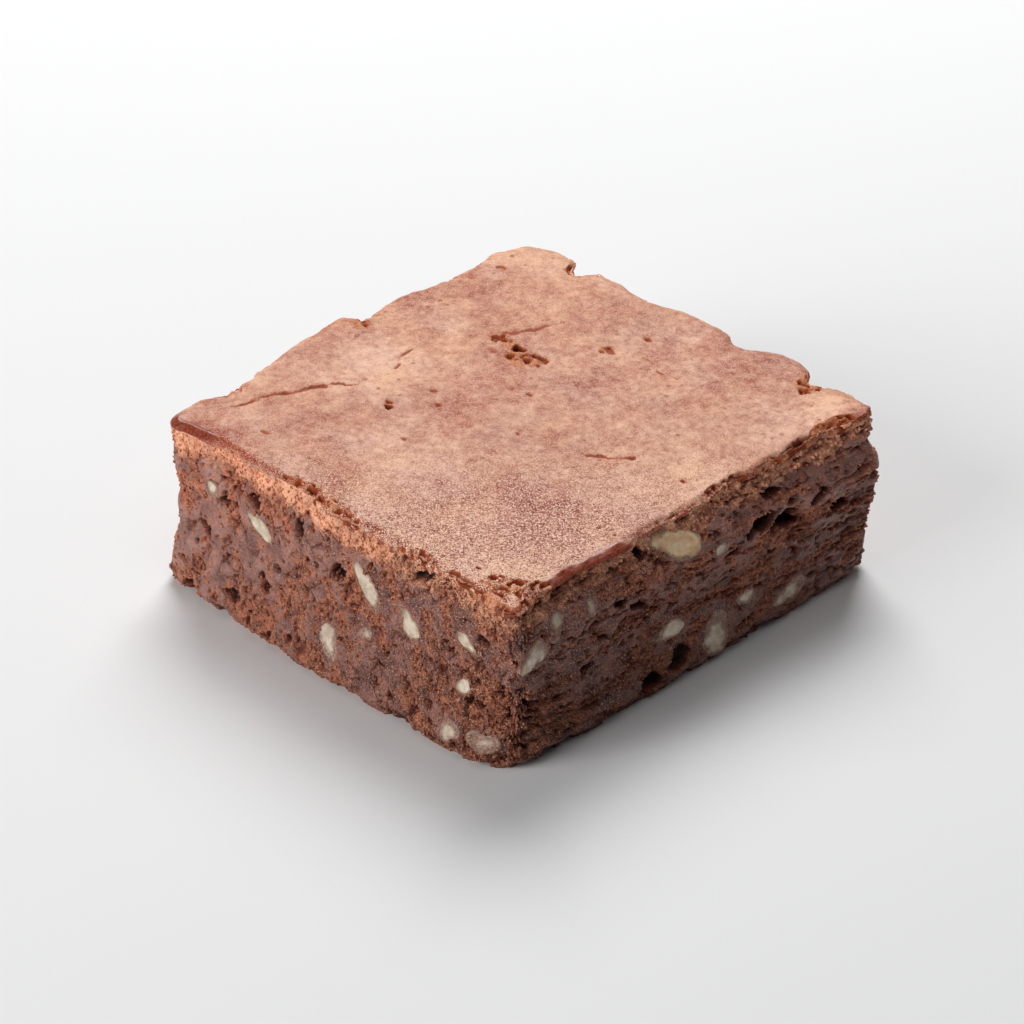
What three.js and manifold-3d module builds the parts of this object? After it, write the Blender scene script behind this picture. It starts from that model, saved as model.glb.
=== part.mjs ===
// A square of walnut brownie, cut from a tray and lying on its flat base.
//
// The baked body is one solid. Its top is a thin papery crust with pits, cracks and chipped edges. Its four
// sides were cut with a knife, so they lean a little, bulge, and show crags and air pockets. Chopped walnuts lie
// in the crumb. Each one that a cut side shows is a solid of its own, in a socket with a thin gap all round.
//
// Sizes are in millimetres and +Z is up. Each cut side is named for where it faces: front -Y, right +X, back +Y
// and left -X. A place on a side is its distance along the side, read on X or Y, and its height.
import * as THREE from "three";
import { mergeVertices } from "three/addons/utils/BufferGeometryUtils.js";
import Module from "manifold-3d";

const wasm = await Module();
wasm.setup();

// Driving sizes of the cut square
const HALF_WIDTH = 32;
const HALF_DEPTH = 33;
const HEIGHT = 24;
const NUT_GAP = 0.3;

// How the blank block is divided: cells along each edge of the top, and the heights of the rows on a side
const CELLS = 32;
const ROW_HEIGHTS = [24, 23.1, 21.8, 20.2, 18.2, 16, 13.8, 11.6, 9.4, 7.2, 5, 2.8, 1.1, 0];
const BASE_RING = 0.7;

// How far each side stands out from the half size at its foot, waist and brim. bow is what the foot gains
// mid-way along. edge lists chips and lips in the brim: where, how far each reaches before and after, how deep.
// A lip has a negative depth.
const SIDES = {
  front: {
    foot: 2.6, waist: 0.4, brim: -0.9, bow: 1.3,
    edge: [[-24, 6, 7, 0.5], [0, 7, 4, -0.8], [9, 5, 6, 0.3], [31, 7, 4, -1.0]],
  },
  right: {
    foot: 0.9, waist: 0.5, brim: -2.2, bow: 0.2,
    edge: [[-32, 2, 5, -1.6], [-20, 5, 4, 0.4], [-6, 3, 3, 0.5], [8, 4, 5, 0.5], [31, 5, 3, -1.8]],
  },
  back: {
    foot: 0.8, waist: 1.2, brim: 2.4, bow: 0.3,
    edge: [
      [-22, 2.2, 2, 2.6], [-11, 5, 4, 0.7], [-1, 6, 7, -0.9], [6.5, 2, 2.6, 1.2], [14, 5, 6, -1.7],
      [20.5, 1.8, 2.4, 1.2], [31, 4, 3, 0.8],
    ],
  },
  left: {
    foot: 1.2, waist: 0.3, brim: 2.1, bow: 0,
    edge: [[-30, 2.4, 3, 0.2], [-21, 5, 5, 1.2], [1.8, 15, 1.6, -2.5], [11, 6, 4, -0.9], [22, 6, 6, 0.4]],
  },
};
const BOW_CENTRE = 4;
const BOW_REACH = 30;
const WAIST_HEIGHT = 13;
const BRIM_STARTS = 17.5;
const CHIP_STARTS = 18;
const CHIP_FULL = 22.5;
const FOOT_ROUND = 0.9;
const FOOT_ROUND_HEIGHT = 1.8;
const SHOULDER = { along: 33, height: 14.5, reach: 9, rise: 5, out: 1.3 };
const SIDE_SHARE = 0.72;

// The four upright corners: the signs of X and Y, and the radius at the crust and at the foot
const CORNERS = [
  { x: -1, y: -1, atCrust: 2.2, atFoot: 4 },
  { x: 1, y: -1, atCrust: 1.6, atFoot: 6 },
  { x: 1, y: 1, atCrust: 1.5, atFoot: 3.5 },
  { x: -1, y: 1, atCrust: 6, atFoot: 5 },
];

// The crust: a gentle swell all over, and the places where it stands up or has sunk
const SWELL = { size: 13, height: 0.35 };
const CRUST_RISES = [
  { x: 31, y: 32, reach: 6.3, height: 0.7 },
  { x: -26, y: 28, reach: 11, height: 0.25 },
  { x: -33, y: -32, reach: 7.7, height: -0.5 },
];
const EDGE_ROLL = 0.35;

// Crags on the cut sides: the size of the lumps along and up the side, and how far they stand out
const CRAGS = [
  { along: 4.5, up: 2.8, height: 0.42, shift: 0 },
  { along: 2.6, up: 1.7, height: 0.28, shift: 9 },
];

// Air pockets: place along the side, height, half length, half height, depth and turn in degrees
const AIR_POCKETS = {
  front: [
    [-24.9, 11.0, 1.2, 1.3, 2.8, 30], [-21.6, 16.8, 1.3, 0.7, 1.5, 20], [-15.9, 18.7, 1.4, 0.7, 1.7, -8],
    [-7.3, 18.6, 1.2, 0.9, 1.6, -20], [0.4, 15.4, 1.7, 1.0, 2.2, -25], [25.9, 17.4, 0.9, 1.0, 2.4, 0],
    [14.8, 21.2, 1.9, 0.6, 1.5, 5], [-12.9, 7.6, 1.2, 1.6, 1.3, -20], [-18.8, 4.2, 2.0, 0.8, 1.5, 5],
    [25.2, 7.6, 2.0, 0.9, 1.8, 15], [18.6, 4.6, 1.1, 1.2, 1.1, 0],
  ],
  right: [
    [-9.8, 21.3, 0.9, 1.0, 2.0, 0], [-14.7, 17.1, 1.6, 0.9, 2.4, -20], [-11.4, 15.6, 1.4, 0.8, 1.9, -10],
    [-21.1, 10.7, 1.6, 1.0, 2.4, 0], [10.8, 17.0, 3.0, 1.2, 3.2, 5], [16.2, 15.4, 3.8, 1.4, 3.4, -18],
    [14.3, 19.8, 2.0, 0.8, 1.6, -12], [22.2, 17.0, 1.7, 0.8, 1.7, 12], [25.9, 13.6, 2.3, 0.8, 2.0, 0],
    [-9.4, 2.4, 2.4, 1.6, 2.6, 12], [-4.2, 4.0, 2.0, 1.3, 2.0, -8], [-30.4, 9.2, 1.2, 0.9, 1.4, 20],
  ],
  back: [
    [-20, 9, 2.2, 1.1, 2.4, 10], [-8, 17, 1.6, 0.9, 1.9, -10], [6, 12, 2.6, 1.0, 2.6, 5],
    [17, 6, 1.5, 1.2, 1.7, 20], [24, 17, 1.8, 0.8, 1.8, 0],
  ],
  left: [
    [-22, 13, 1.5, 1.3, 2.4, 15], [-9, 7, 2.2, 0.9, 2.0, -8], [4, 18, 1.6, 0.8, 1.7, 0],
    [14, 10, 2.4, 1.1, 2.5, 12], [24, 5, 1.6, 1.0, 1.6, -15],
  ],
};

// Pits in the crust: X, Y, half sizes along X and Y, and depth. The first four are one broken blister.
const CRUST_PITS = [
  [-12.6, 12.0, 1.1, 1.0, 4.0], [-17.0, 12.4, 2.0, 0.8, 1.2], [-8.6, 12.4, 1.9, 0.8, 1.2],
  [-10.4, 10.0, 3.0, 1.5, 0.7], [-4.5, 21.0, 1.1, 1.1, 0.9], [-14.7, -10.0, 0.8, 0.8, 1.2],
  [27.0, -27.6, 1.3, 1.1, 1.3],
];

// Cracks in the crust, each through a few plan points from end to end, and half their width
const CRACKS = [
  [[-30.6, -27.0], [-28.2, -20.4], [-25.4, -15.6], [-24.2, -11.4], [-21.2, -8.6]],
  [[-23.4, 2.8], [-22.8, -0.6], [-20.8, -3.4]],
  [[-13.8, 22.4], [-14.6, 17.2], [-16.6, 14.0], [-21.0, 11.4], [-21.9, 8.2]],
  [[-0.6, 23.4], [2.6, 22.6], [5.2, 21.3], [7.6, 22.6]],
  [[12.8, -0.9], [14.8, 0.4], [17.0, 1.9]],
];
const CRACK_HALF = 0.45;
const CRACK_STEPS = 8;

// Walnut pieces: place along the side, height, length, width, how deep it lies and its turn in degrees
const WALNUTS = {
  front: [
    [-23.6, 17.3, 2.6, 2.0, 1.6, -40], [-14.6, 15.6, 5.4, 2.6, 2.0, -38], [5.8, 15.6, 7.0, 2.7, 2.4, -58],
    [13.4, 13.8, 4.8, 3.0, 2.2, -42], [0.2, 5.9, 4.6, 3.3, 2.2, -52], [6.0, 9.2, 2.0, 1.6, 1.2, 0],
    [23.7, 16.0, 3.6, 2.1, 1.6, -32], [23.4, 9.5, 2.8, 1.8, 1.6, 30], [22.8, 3.4, 3.2, 2.9, 2.0, 80],
    [28.2, 3.9, 4.2, 2.8, 1.8, 10],
  ],
  right: [
    [-30.2, 16.6, 5.4, 3.0, 2.0, 34], [-26.0, 19.2, 3.8, 2.4, 1.8, 34], [-19.5, 19.2, 2.8, 1.9, 1.5, 40],
    [-3.8, 20.5, 9.6, 3.6, 2.8, -18], [3.9, 16.8, 2.4, 1.8, 1.4, 0], [-5.7, 8.8, 4.8, 2.8, 2.2, -10],
    [2.7, 4.4, 6.0, 5.4, 2.8, 78], [8.4, 7.2, 3.9, 1.8, 1.6, -5], [17.0, 4.2, 7.0, 2.4, 2.0, 20],
  ],
  back: [
    [-26, 18, 4.4, 2.4, 2.0, 35], [-13, 6, 5.6, 3.2, 2.4, -50], [-1, 20, 3.4, 2.2, 1.8, 10],
    [12, 17, 6.2, 2.8, 2.4, 25], [21, 11, 4.2, 3.0, 2.2, -30],
  ],
  left: [
    [-28, 6, 4.6, 2.6, 2.0, 30], [-15, 17, 5.8, 2.6, 2.2, -25], [-1, 12, 3.6, 2.8, 2.0, 60],
    [10, 5, 6.0, 3.0, 2.4, 15], [20, 16, 4.8, 2.4, 2.0, -40],
  ],
};
const NUT_FACETS = 9;
const POCKET_FACETS = 7;
// How a place on a side is found: passes, and the step on the blank block over which its slope is read
const PLACE_PASSES = 8;
const SLOPE_STEP = 0.04;
const CALM_FROM = 0.75;
const CALM_TO = 1.5;

// Half profiles turned round an axis that points out of the crumb, as shares of the half width and of the
// depth: a nut with its knife-cut face flush, its socket, and an air pocket. A height over 0 is past the surface.
const NUT_PROFILE = [[0, -1], [0.62, -0.84], [0.96, -0.4], [1, -0.02], [0, 0.03]];
const SOCKET_PROFILE = [[0, -1], [0.62, -0.84], [0.96, -0.4], [1.04, 1], [0, 1]];
const POCKET_PROFILE = [[0, -1], [0.8, -0.62], [1.06, 1], [0, 1]];
const MOUTH = 1.2;

// A smooth step from 0 to 1
function smooth(value, from, to) {
  const t = Math.min(Math.max((value - from) / (to - from), 0), 1);
  return t * t * (3 - 2 * t);
}

// A round hump: 1 in the middle, 0 at and past plus or minus 1
function hump(t) {
  return Math.max(1 - t * t, 0);
}

// A repeatable number from 0 to 1 for each whole-number place
function chance(i, j, k) {
  let h = Math.imul(i, 374761393) ^ Math.imul(j, 668265263) ^ Math.imul(k, 2246822519);
  h = Math.imul(h ^ (h >>> 13), 1274126177);
  return ((h ^ (h >>> 16)) >>> 0) / 4294967295;
}

// Smooth random lumps from -1 to 1, one to each unit cell
function lumps(x, y, z) {
  const [i, j, k] = [x, y, z].map(Math.floor);
  const [u, v, w] = [x - i, y - j, z - k].map((t) => t * t * (3 - 2 * t));
  let sum = 0;
  for (const a of [0, 1])
    for (const b of [0, 1])
      for (const c of [0, 1])
        sum += (a ? u : 1 - u) * (b ? v : 1 - v) * (c ? w : 1 - w) * chance(i + a, j + b, k + c);
  return 2 * sum - 1;
}

// How far a side stands out from its half size at a place on it, without its crags
function sideOffset(name, along, height) {
  const side = SIDES[name];
  const foot = side.foot + side.bow * hump((along - BOW_CENTRE) / BOW_REACH);
  let out = foot + (side.waist - foot) * smooth(height, 0, WAIST_HEIGHT);
  out += (side.brim - side.waist) * smooth(height, BRIM_STARTS, HEIGHT);
  out -= FOOT_ROUND * (1 - smooth(height, 0, FOOT_ROUND_HEIGHT));
  for (const [at, before, after, depth] of side.edge) {
    const reach = along < at ? before : after;
    out -= depth * hump((along - at) / reach) * smooth(height, CHIP_STARTS, CHIP_FULL);
  }
  if (name === "right") {
    const away = ((along - SHOULDER.along) / SHOULDER.reach) ** 2 + ((height - SHOULDER.height) / SHOULDER.rise) ** 2;
    out += SHOULDER.out * Math.exp(-away);
  }
  return out;
}

// The height of the crust over a plan point
function crustHeight(x, y) {
  let z = HEIGHT - SWELL.height + SWELL.height * lumps(x / SWELL.size + 3, y / SWELL.size + 5, 0.5);
  for (const rise of CRUST_RISES)
    z += rise.height * Math.exp(-((x - rise.x) ** 2 + (y - rise.y) ** 2) / rise.reach ** 2);
  return z;
}

// 0 on a walnut's cut face and 1 away from it, so that the crumb lies calm round the nut
function calmness(name, along, height) {
  let calm = 1;
  for (const [at, level, length, width] of WALNUTS[name]) {
    const reach = (length + width) / 4;
    calm *= smooth(Math.hypot(along - at, height - level) / reach, CALM_FROM, CALM_TO);
  }
  return calm;
}

// The crags of a side at a point, fading out at the base and at the brim
function crags(name, x, y, z) {
  const along = name === "front" || name === "back" ? x : y;
  let out = 0;
  for (const crag of CRAGS)
    out += crag.height * lumps(x / crag.along + crag.shift, y / crag.along, z / crag.up);
  return out * smooth(z, 0, 2) * calmness(name, along, z);
}

// Takes a point of the blank block, each coordinate from -1 to 1, to its place on the brownie
function onBrownie(a, b, c) {
  const z = ((c + 1) / 2) * HEIGHT;
  let x = a * HALF_WIDTH;
  let y = b * HALF_DEPTH;
  for (const corner of CORNERS) {
    const radius = corner.atFoot + (corner.atCrust - corner.atFoot) * smooth(z, 4, 18);
    const dx = corner.x * x - (HALF_WIDTH - radius);
    const dy = corner.y * y - (HALF_DEPTH - radius);
    if (dx <= 0 || dy <= 0) continue;
    const pull = Math.max(dx, dy) / Math.hypot(dx, dy);
    x = corner.x * (HALF_WIDTH - radius + dx * pull);
    y = corner.y * (HALF_DEPTH - radius + dy * pull);
  }
  const sideX = a > 0 ? "right" : "left";
  const sideY = b > 0 ? "back" : "front";
  const outX = (sideOffset(sideX, y, z) + crags(sideX, x, y, z)) * smooth(Math.abs(a), SIDE_SHARE, 1);
  const outY = (sideOffset(sideY, x, z) + crags(sideY, x, y, z)) * smooth(Math.abs(b), SIDE_SHARE, 1);
  x += Math.sign(a) * outX;
  y += Math.sign(b) * outY;
  const onRim = c === 1 && Math.max(Math.abs(a), Math.abs(b)) === 1;
  return [x, y, (z / HEIGHT) * crustHeight(x, y) - (onRim ? EDGE_ROLL : 0)];
}

// How each side lies on the blank block: the point at a share along it, which axis and half size the distance
// along it is read on, and which way that runs as seen from outside
const SIDE_GRIDS = {
  front: { blank: (s, c) => [s, -1, c], axis: 0, half: HALF_WIDTH, rightward: 1 },
  right: { blank: (s, c) => [1, s, c], axis: 1, half: HALF_DEPTH, rightward: 1 },
  back: { blank: (s, c) => [s, 1, c], axis: 0, half: HALF_WIDTH, rightward: -1 },
  left: { blank: (s, c) => [-1, s, c], axis: 1, half: HALF_DEPTH, rightward: -1 },
};

// Turns a three.js geometry, or positions with an index, into a solid
function solid(geometry) {
  const bare = geometry.clone();
  bare.deleteAttribute("normal");
  bare.deleteAttribute("uv");
  const merged = mergeVertices(bare, 1e-4);
  const corners = [];
  for (let i = 0; i < merged.index.count; i += 3) {
    const [p, q, r] = [0, 1, 2].map((n) => merged.index.getX(i + n));
    if (p !== q && q !== r && r !== p) corners.push(p, q, r);
  }
  const mesh = new wasm.Mesh({
    numProp: 3,
    vertProperties: new Float32Array(merged.attributes.position.array),
    triVerts: new Uint32Array(corners),
  });
  return new wasm.Manifold(mesh);
}

// Turns a solid back into a three.js geometry
function geometryOf(made) {
  const mesh = made.getMesh();
  const positions = new Float32Array(mesh.numVert * 3);
  for (let i = 0; i < mesh.numVert; i++)
    positions.set(mesh.vertProperties.subarray(i * mesh.numProp, i * mesh.numProp + 3), i * 3);
  const geometry = new THREE.BufferGeometry();
  geometry.setAttribute("position", new THREE.BufferAttribute(positions, 3));
  geometry.setIndex(new THREE.BufferAttribute(mesh.triVerts, 1));
  geometry.computeVertexNormals();
  return geometry;
}

// The body before its pockets are cut: a grid of cells for the crust, rows of cells round the sides, and a
// flat base closed to its middle
function bodyGeometry() {
  const points = [];
  const index = [];
  const add = (a, b, c) => points.push(onBrownie(a, b, c)) - 1;
  const quad = (p, q, r, s) => index.push(p, q, r, p, r, s);
  const share = (n) => (2 * n) / CELLS - 1;
  const top = [];
  for (let j = 0; j <= CELLS; j++)
    for (let i = 0; i <= CELLS; i++) top.push(add(share(i), share(j), 1));
  const at = (i, j) => top[j * (CELLS + 1) + i];
  for (let j = 0; j < CELLS; j++)
    for (let i = 0; i < CELLS; i++) quad(at(i, j), at(i + 1, j), at(i + 1, j + 1), at(i, j + 1));
  // The way round the rim, anticlockwise from above, as cell counts on the top grid
  const round = [];
  for (let n = 0; n < CELLS; n++) round.push([n, 0]);
  for (let n = 0; n < CELLS; n++) round.push([CELLS, n]);
  for (let n = CELLS; n > 0; n--) round.push([n, CELLS]);
  for (let n = CELLS; n > 0; n--) round.push([0, n]);
  let above = round.map(([i, j]) => at(i, j));
  const band = (below) => {
    above.forEach((p, n) => {
      const next = (n + 1) % above.length;
      quad(p, below[n], below[next], above[next]);
    });
    above = below;
  };
  for (const height of ROW_HEIGHTS.slice(1))
    band(round.map(([i, j]) => add(share(i), share(j), (2 * height) / HEIGHT - 1)));
  band(round.map(([i, j]) => add(share(i) * BASE_RING, share(j) * BASE_RING, -1)));
  const middle = add(0, 0, -1);
  above.forEach((p, n) => index.push(middle, above[(n + 1) % above.length], p));
  const geometry = new THREE.BufferGeometry();
  geometry.setAttribute("position", new THREE.Float32BufferAttribute(points.flat(), 3));
  geometry.setIndex(index);
  return geometry;
}

// The frame of a place on a side: X to the right as seen from outside, Y straight out of the surface there
function placeOnSide(name, along, height, turn) {
  const { blank, axis, half, rightward } = SIDE_GRIDS[name];
  let s = along / half;
  let c = (2 * height) / HEIGHT - 1;
  for (let pass = 0; pass < PLACE_PASSES; pass++) {
    const reached = onBrownie(...blank(s, c));
    s += (along - reached[axis]) / half;
    c += (2 * (height - reached[2])) / HEIGHT;
  }
  const point = (ds, dc) => new THREE.Vector3(...onBrownie(...blank(s + ds, c + dc)));
  const right = point(SLOPE_STEP, 0).sub(point(-SLOPE_STEP, 0)).multiplyScalar(rightward).normalize();
  const up = point(0, SLOPE_STEP).sub(point(0, -SLOPE_STEP));
  const outward = right.clone().cross(up).normalize();
  const basis = new THREE.Matrix4().makeBasis(right, outward, right.clone().cross(outward));
  return basis
    .multiply(new THREE.Matrix4().makeRotationY(THREE.MathUtils.degToRad(turn)))
    .premultiply(new THREE.Matrix4().makeTranslation(point(0, 0)));
}

// The frame of a place on the crust, with Y straight up
function placeOnCrust(x, y) {
  return new THREE.Matrix4().makeRotationX(Math.PI / 2).setPosition(x, y, crustHeight(x, y));
}

// A half profile turned into an uneven lump: reach along X and Z, depth along Y
function lumpGeometry(profile, facets, reachX, reachZ, depth, seed) {
  const half = profile.map(([r, y]) => new THREE.Vector2(r, y === 1 ? MOUTH : y * depth));
  const geometry = new THREE.LatheGeometry(half, facets);
  const position = geometry.attributes.position;
  for (let i = 0; i < position.count; i++) {
    const [x, y, z] = [position.getX(i), position.getY(i), position.getZ(i)];
    const angle = Math.atan2(z, x);
    const swing = chance(seed, 1, 0) * Math.PI * 2;
    const uneven = 1 + 0.12 * Math.cos(2 * angle + swing) + 0.1 * Math.cos(3 * angle - swing);
    position.setXYZ(i, x * reachX * uneven, y, z * reachZ * uneven);
  }
  return geometry;
}

// An air pocket or pit to be cut out of the crumb
function pocket(place, reachX, reachZ, depth, seed) {
  return solid(lumpGeometry(POCKET_PROFILE, POCKET_FACETS, reachX, reachZ, depth, seed).applyMatrix4(place));
}

// A groove of diamond section along a crack, half sunk in the crust
function groove(planPoints) {
  const path = planPoints.map(([x, y]) => new THREE.Vector3(x, y, crustHeight(x, y)));
  const section = [[0, -1], [1, 0], [0, 1], [-1, 0]].map(([x, y]) => new THREE.Vector2(x, y));
  section.forEach((corner) => corner.multiplyScalar(CRACK_HALF * Math.SQRT2));
  const settings = {
    steps: CRACK_STEPS,
    bevelEnabled: false,
    extrudePath: new THREE.CatmullRomCurve3(path),
  };
  return solid(new THREE.ExtrudeGeometry(new THREE.Shape(section), settings));
}

const crumbMaterial = new THREE.MeshStandardMaterial({ color: 0x7d4c3b, roughness: 0.8, metalness: 0 });
const walnutMaterial = new THREE.MeshStandardMaterial({ color: 0xcdb994, roughness: 0.55, metalness: 0 });

const square = new THREE.Group();
const cuts = [];

// The walnuts, and a socket for each
for (const [side, nuts] of Object.entries(WALNUTS))
  nuts.forEach(([along, height, length, width, depth, turn], n) => {
    const place = placeOnSide(side, along, height, turn);
    const seed = 31 * (n + 1) + side.length;
    const sizes = [length / 2, width / 2, depth];
    const nut = new THREE.Mesh(lumpGeometry(NUT_PROFILE, NUT_FACETS, ...sizes, seed), walnutMaterial);
    nut.name = `walnut_${side}_${n + 1}`;
    nut.applyMatrix4(place);
    square.add(nut);
    const room = sizes.map((size) => size + NUT_GAP);
    cuts.push(solid(lumpGeometry(SOCKET_PROFILE, NUT_FACETS, ...room, seed).applyMatrix4(place)));
  });

// The air pockets of the sides, and the pits and cracks of the crust
for (const [side, pockets] of Object.entries(AIR_POCKETS))
  pockets.forEach(([along, height, reach, rise, depth, turn], n) =>
    cuts.push(pocket(placeOnSide(side, along, height, turn), reach, rise, depth, 7 * (n + 1))),
  );
CRUST_PITS.forEach(([x, y, reachX, reachY, depth], n) =>
  cuts.push(pocket(placeOnCrust(x, y), reachX, reachY, depth, 5 * (n + 1))),
);
CRACKS.forEach((crack) => cuts.push(groove(crack)));

const baked = cuts.reduce((body, hollow) => body.subtract(hollow), solid(bodyGeometry()));
const brownie = new THREE.Mesh(geometryOf(baked), crumbMaterial);
brownie.name = "brownie";
square.add(brownie);

// The origin is the middle of the base, so the square is moved to stand centred over it
const middle = new THREE.Box3().setFromObject(square).getCenter(new THREE.Vector3());
square.position.set(-middle.x, -middle.y, 0);

const part = new THREE.Group();
part.add(square);
export default part;
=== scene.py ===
import itertools
import math

import bpy
import numpy as np
from mathutils import Matrix, Vector


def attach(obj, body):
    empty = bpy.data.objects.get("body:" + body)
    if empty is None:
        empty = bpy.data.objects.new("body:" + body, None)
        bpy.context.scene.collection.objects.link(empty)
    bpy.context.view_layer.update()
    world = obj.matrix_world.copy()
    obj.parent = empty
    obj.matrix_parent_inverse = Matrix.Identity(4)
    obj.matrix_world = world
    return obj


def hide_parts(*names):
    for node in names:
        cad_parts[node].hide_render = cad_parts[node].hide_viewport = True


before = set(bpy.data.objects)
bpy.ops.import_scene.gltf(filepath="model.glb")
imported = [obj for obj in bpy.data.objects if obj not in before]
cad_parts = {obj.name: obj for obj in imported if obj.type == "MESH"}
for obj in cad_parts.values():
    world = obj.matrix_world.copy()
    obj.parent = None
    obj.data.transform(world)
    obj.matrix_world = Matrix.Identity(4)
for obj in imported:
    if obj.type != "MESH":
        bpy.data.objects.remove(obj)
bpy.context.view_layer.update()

# The crumb: the baked inside of the square, shown on its four knife-cut sides
# A dense chocolate crumb. The knife smeared it smooth and greyish in places and tore it open in others, so a
# side shows flat smears, rusty grains, fine bubbles, deeper air pockets and the sockets of the walnuts.
# Each side is a wedge that runs to the middle of the square. Sizes are in millimetres until a mesh is made.
HALF_WIDTH, HALF_DEPTH, HEIGHT = 32.0, 33.0, 24.0
OUTLINE_MIDDLE = np.array([1.525, -0.160, 0.0])
FINE_STEP = 0.155
# Sizes of the cells that hold a fine, middling or large bubble or a lump of crumb, and the bubbles' depths
PORE_CELL, GAP_CELL, HOLE_CELL, LUMP_CELL = 0.8, 1.35, 2.2, 2.1
PORE_DEPTH, GAP_DEPTH, HOLE_DEPTH = 0.45, 0.8, 1.1
# Depth of the airy band under the crust, and how far the crust's edge drops
BAND_DEPTH, EDGE_DROP = 3.0, 0.45
# Inset and drop of each row that runs in under the crust, and inset of each one that runs in under the base
TUCKED_ROWS, BASE_ROWS = ((6.0, 6.0), (2.0, 1.6), (0.8, 0.4)), (0.6, 2.0, 6.0)

# How far each side stands out at its foot, waist and brim, its bow at the foot, and the chips in its edge:
# place along it, reach before and after that, and depth, which is below 0 where the edge juts out
SIDES = {
    "front": {
        "foot": 2.6, "waist": 0.4, "brim": -0.9, "bow": 1.3,
        "edge": [(-24, 6, 7, 0.5), (0, 7, 4, -0.8), (9, 5, 6, 0.3), (31, 7, 4, -1.0)],
    },
    "right": {
        "foot": 0.9, "waist": 0.5, "brim": -2.2, "bow": 0.2,
        "edge": [(-32, 2, 5, -1.6), (-20, 5, 4, 0.4), (-6, 3, 3, 0.5), (8, 4, 5, 0.5), (31, 5, 3, -1.8)],
    },
    "back": {
        "foot": 0.8, "waist": 1.2, "brim": 2.4, "bow": 0.3,
        "edge": [
            (-22, 2.2, 2, 2.6), (-11, 5, 4, 0.7), (-1, 6, 7, -0.9), (6.5, 2, 2.6, 1.2), (14, 5, 6, -1.7),
            (20.5, 1.8, 2.4, 1.2), (31, 4, 3, 0.8),
        ],
    },
    "left": {
        "foot": 1.2, "waist": 0.3, "brim": 2.1, "bow": 0.0,
        "edge": [
            (-30, 2.4, 3, 0.2), (-21, 5, 5, 1.2), (1.8, 15, 1.6, -2.5), (11, 6, 4, -0.9), (22, 6, 6, 0.4),
        ],
    },
}
# Signs of X and Y, and the corner's radius at the crust and at the foot
CORNERS = [(-1, -1, 2.2, 4.0), (1, -1, 1.6, 6.0), (1, 1, 1.5, 3.5), (-1, 1, 6.0, 5.0)]
# X, Y, reach and height of the places where the crust stands up or has sunk
CRUST_RISES = [(31, 32, 6.3, 0.7), (-26, 28, 11, 0.25), (-33, -32, 7.7, -0.5)]
# X, Y and squared reach of the crumbly corner in front and of the ledges in the far one
ROUGH_CORNER, FAR_CORNER = (32, -34, 80), (34, 34, 60)
# Size, height and shift of the lumps that make the crags, an air pocket's outline, the lower edge of the
# airy band and the knife's smears uneven
CRAGS = [((4.5, 4.5, 2.8), 0.42, 0), ((2.6, 2.6, 1.7), 0.28, (9, 0, 0))]
RAGGED_POCKETS = [(1.1, 0.4, 31), (0.5, 0.25, 7)]
RAGGED_BAND = [(5, 0.9, 3), (1.4, 0.6, 0)]
SMEAR_RIPPLES = [(1.2, 0.05, 8), (0.45, 0.035, 0)]
# Place along the side, height, half length, half height, depth and turn in degrees
AIR_POCKETS = {
    "front": [
        (-24.9, 11.0, 1.2, 1.3, 2.8, 30), (-21.6, 16.8, 1.3, 0.7, 1.5, 20), (-15.9, 18.7, 1.4, 0.7, 1.7, -8),
        (-7.3, 18.6, 1.2, 0.9, 1.6, -20), (0.4, 15.4, 1.7, 1.0, 2.2, -25), (25.9, 17.4, 0.9, 1.0, 2.4, 0),
        (14.8, 21.2, 1.9, 0.6, 1.5, 5), (-12.9, 7.6, 1.2, 1.6, 1.3, -20), (-18.8, 4.2, 2.0, 0.8, 1.5, 5),
        (25.2, 7.6, 2.0, 0.9, 1.8, 15), (18.6, 4.6, 1.1, 1.2, 1.1, 0),
    ],
    "right": [
        (-9.8, 21.3, 0.9, 1.0, 2.0, 0), (-14.7, 17.1, 1.6, 0.9, 2.4, -20), (-11.4, 15.6, 1.4, 0.8, 1.9, -10),
        (-21.1, 10.7, 1.6, 1.0, 2.4, 0), (10.8, 17.0, 3.0, 1.2, 3.2, 5), (16.2, 15.4, 3.8, 1.4, 3.4, -18),
        (14.3, 19.8, 2.0, 0.8, 1.6, -12), (22.2, 17.0, 1.7, 0.8, 1.7, 12), (25.9, 13.6, 2.3, 0.8, 2.0, 0),
        (-9.4, 2.4, 2.4, 1.6, 2.6, 12), (-4.2, 4.0, 2.0, 1.3, 2.0, -8), (-30.4, 9.2, 1.2, 0.9, 1.4, 20),
    ],
    "back": [
        (-20, 9, 2.2, 1.1, 2.4, 10), (-8, 17, 1.6, 0.9, 1.9, -10), (6, 12, 2.6, 1.0, 2.6, 5),
        (17, 6, 1.5, 1.2, 1.7, 20), (24, 17, 1.8, 0.8, 1.8, 0),
    ],
    "left": [
        (-22, 13, 1.5, 1.3, 2.4, 15), (-9, 7, 2.2, 0.9, 2.0, -8), (4, 18, 1.6, 0.8, 1.7, 0),
        (14, 10, 2.4, 1.1, 2.5, 12), (24, 5, 1.6, 1.0, 1.6, -15),
    ],
}
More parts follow.
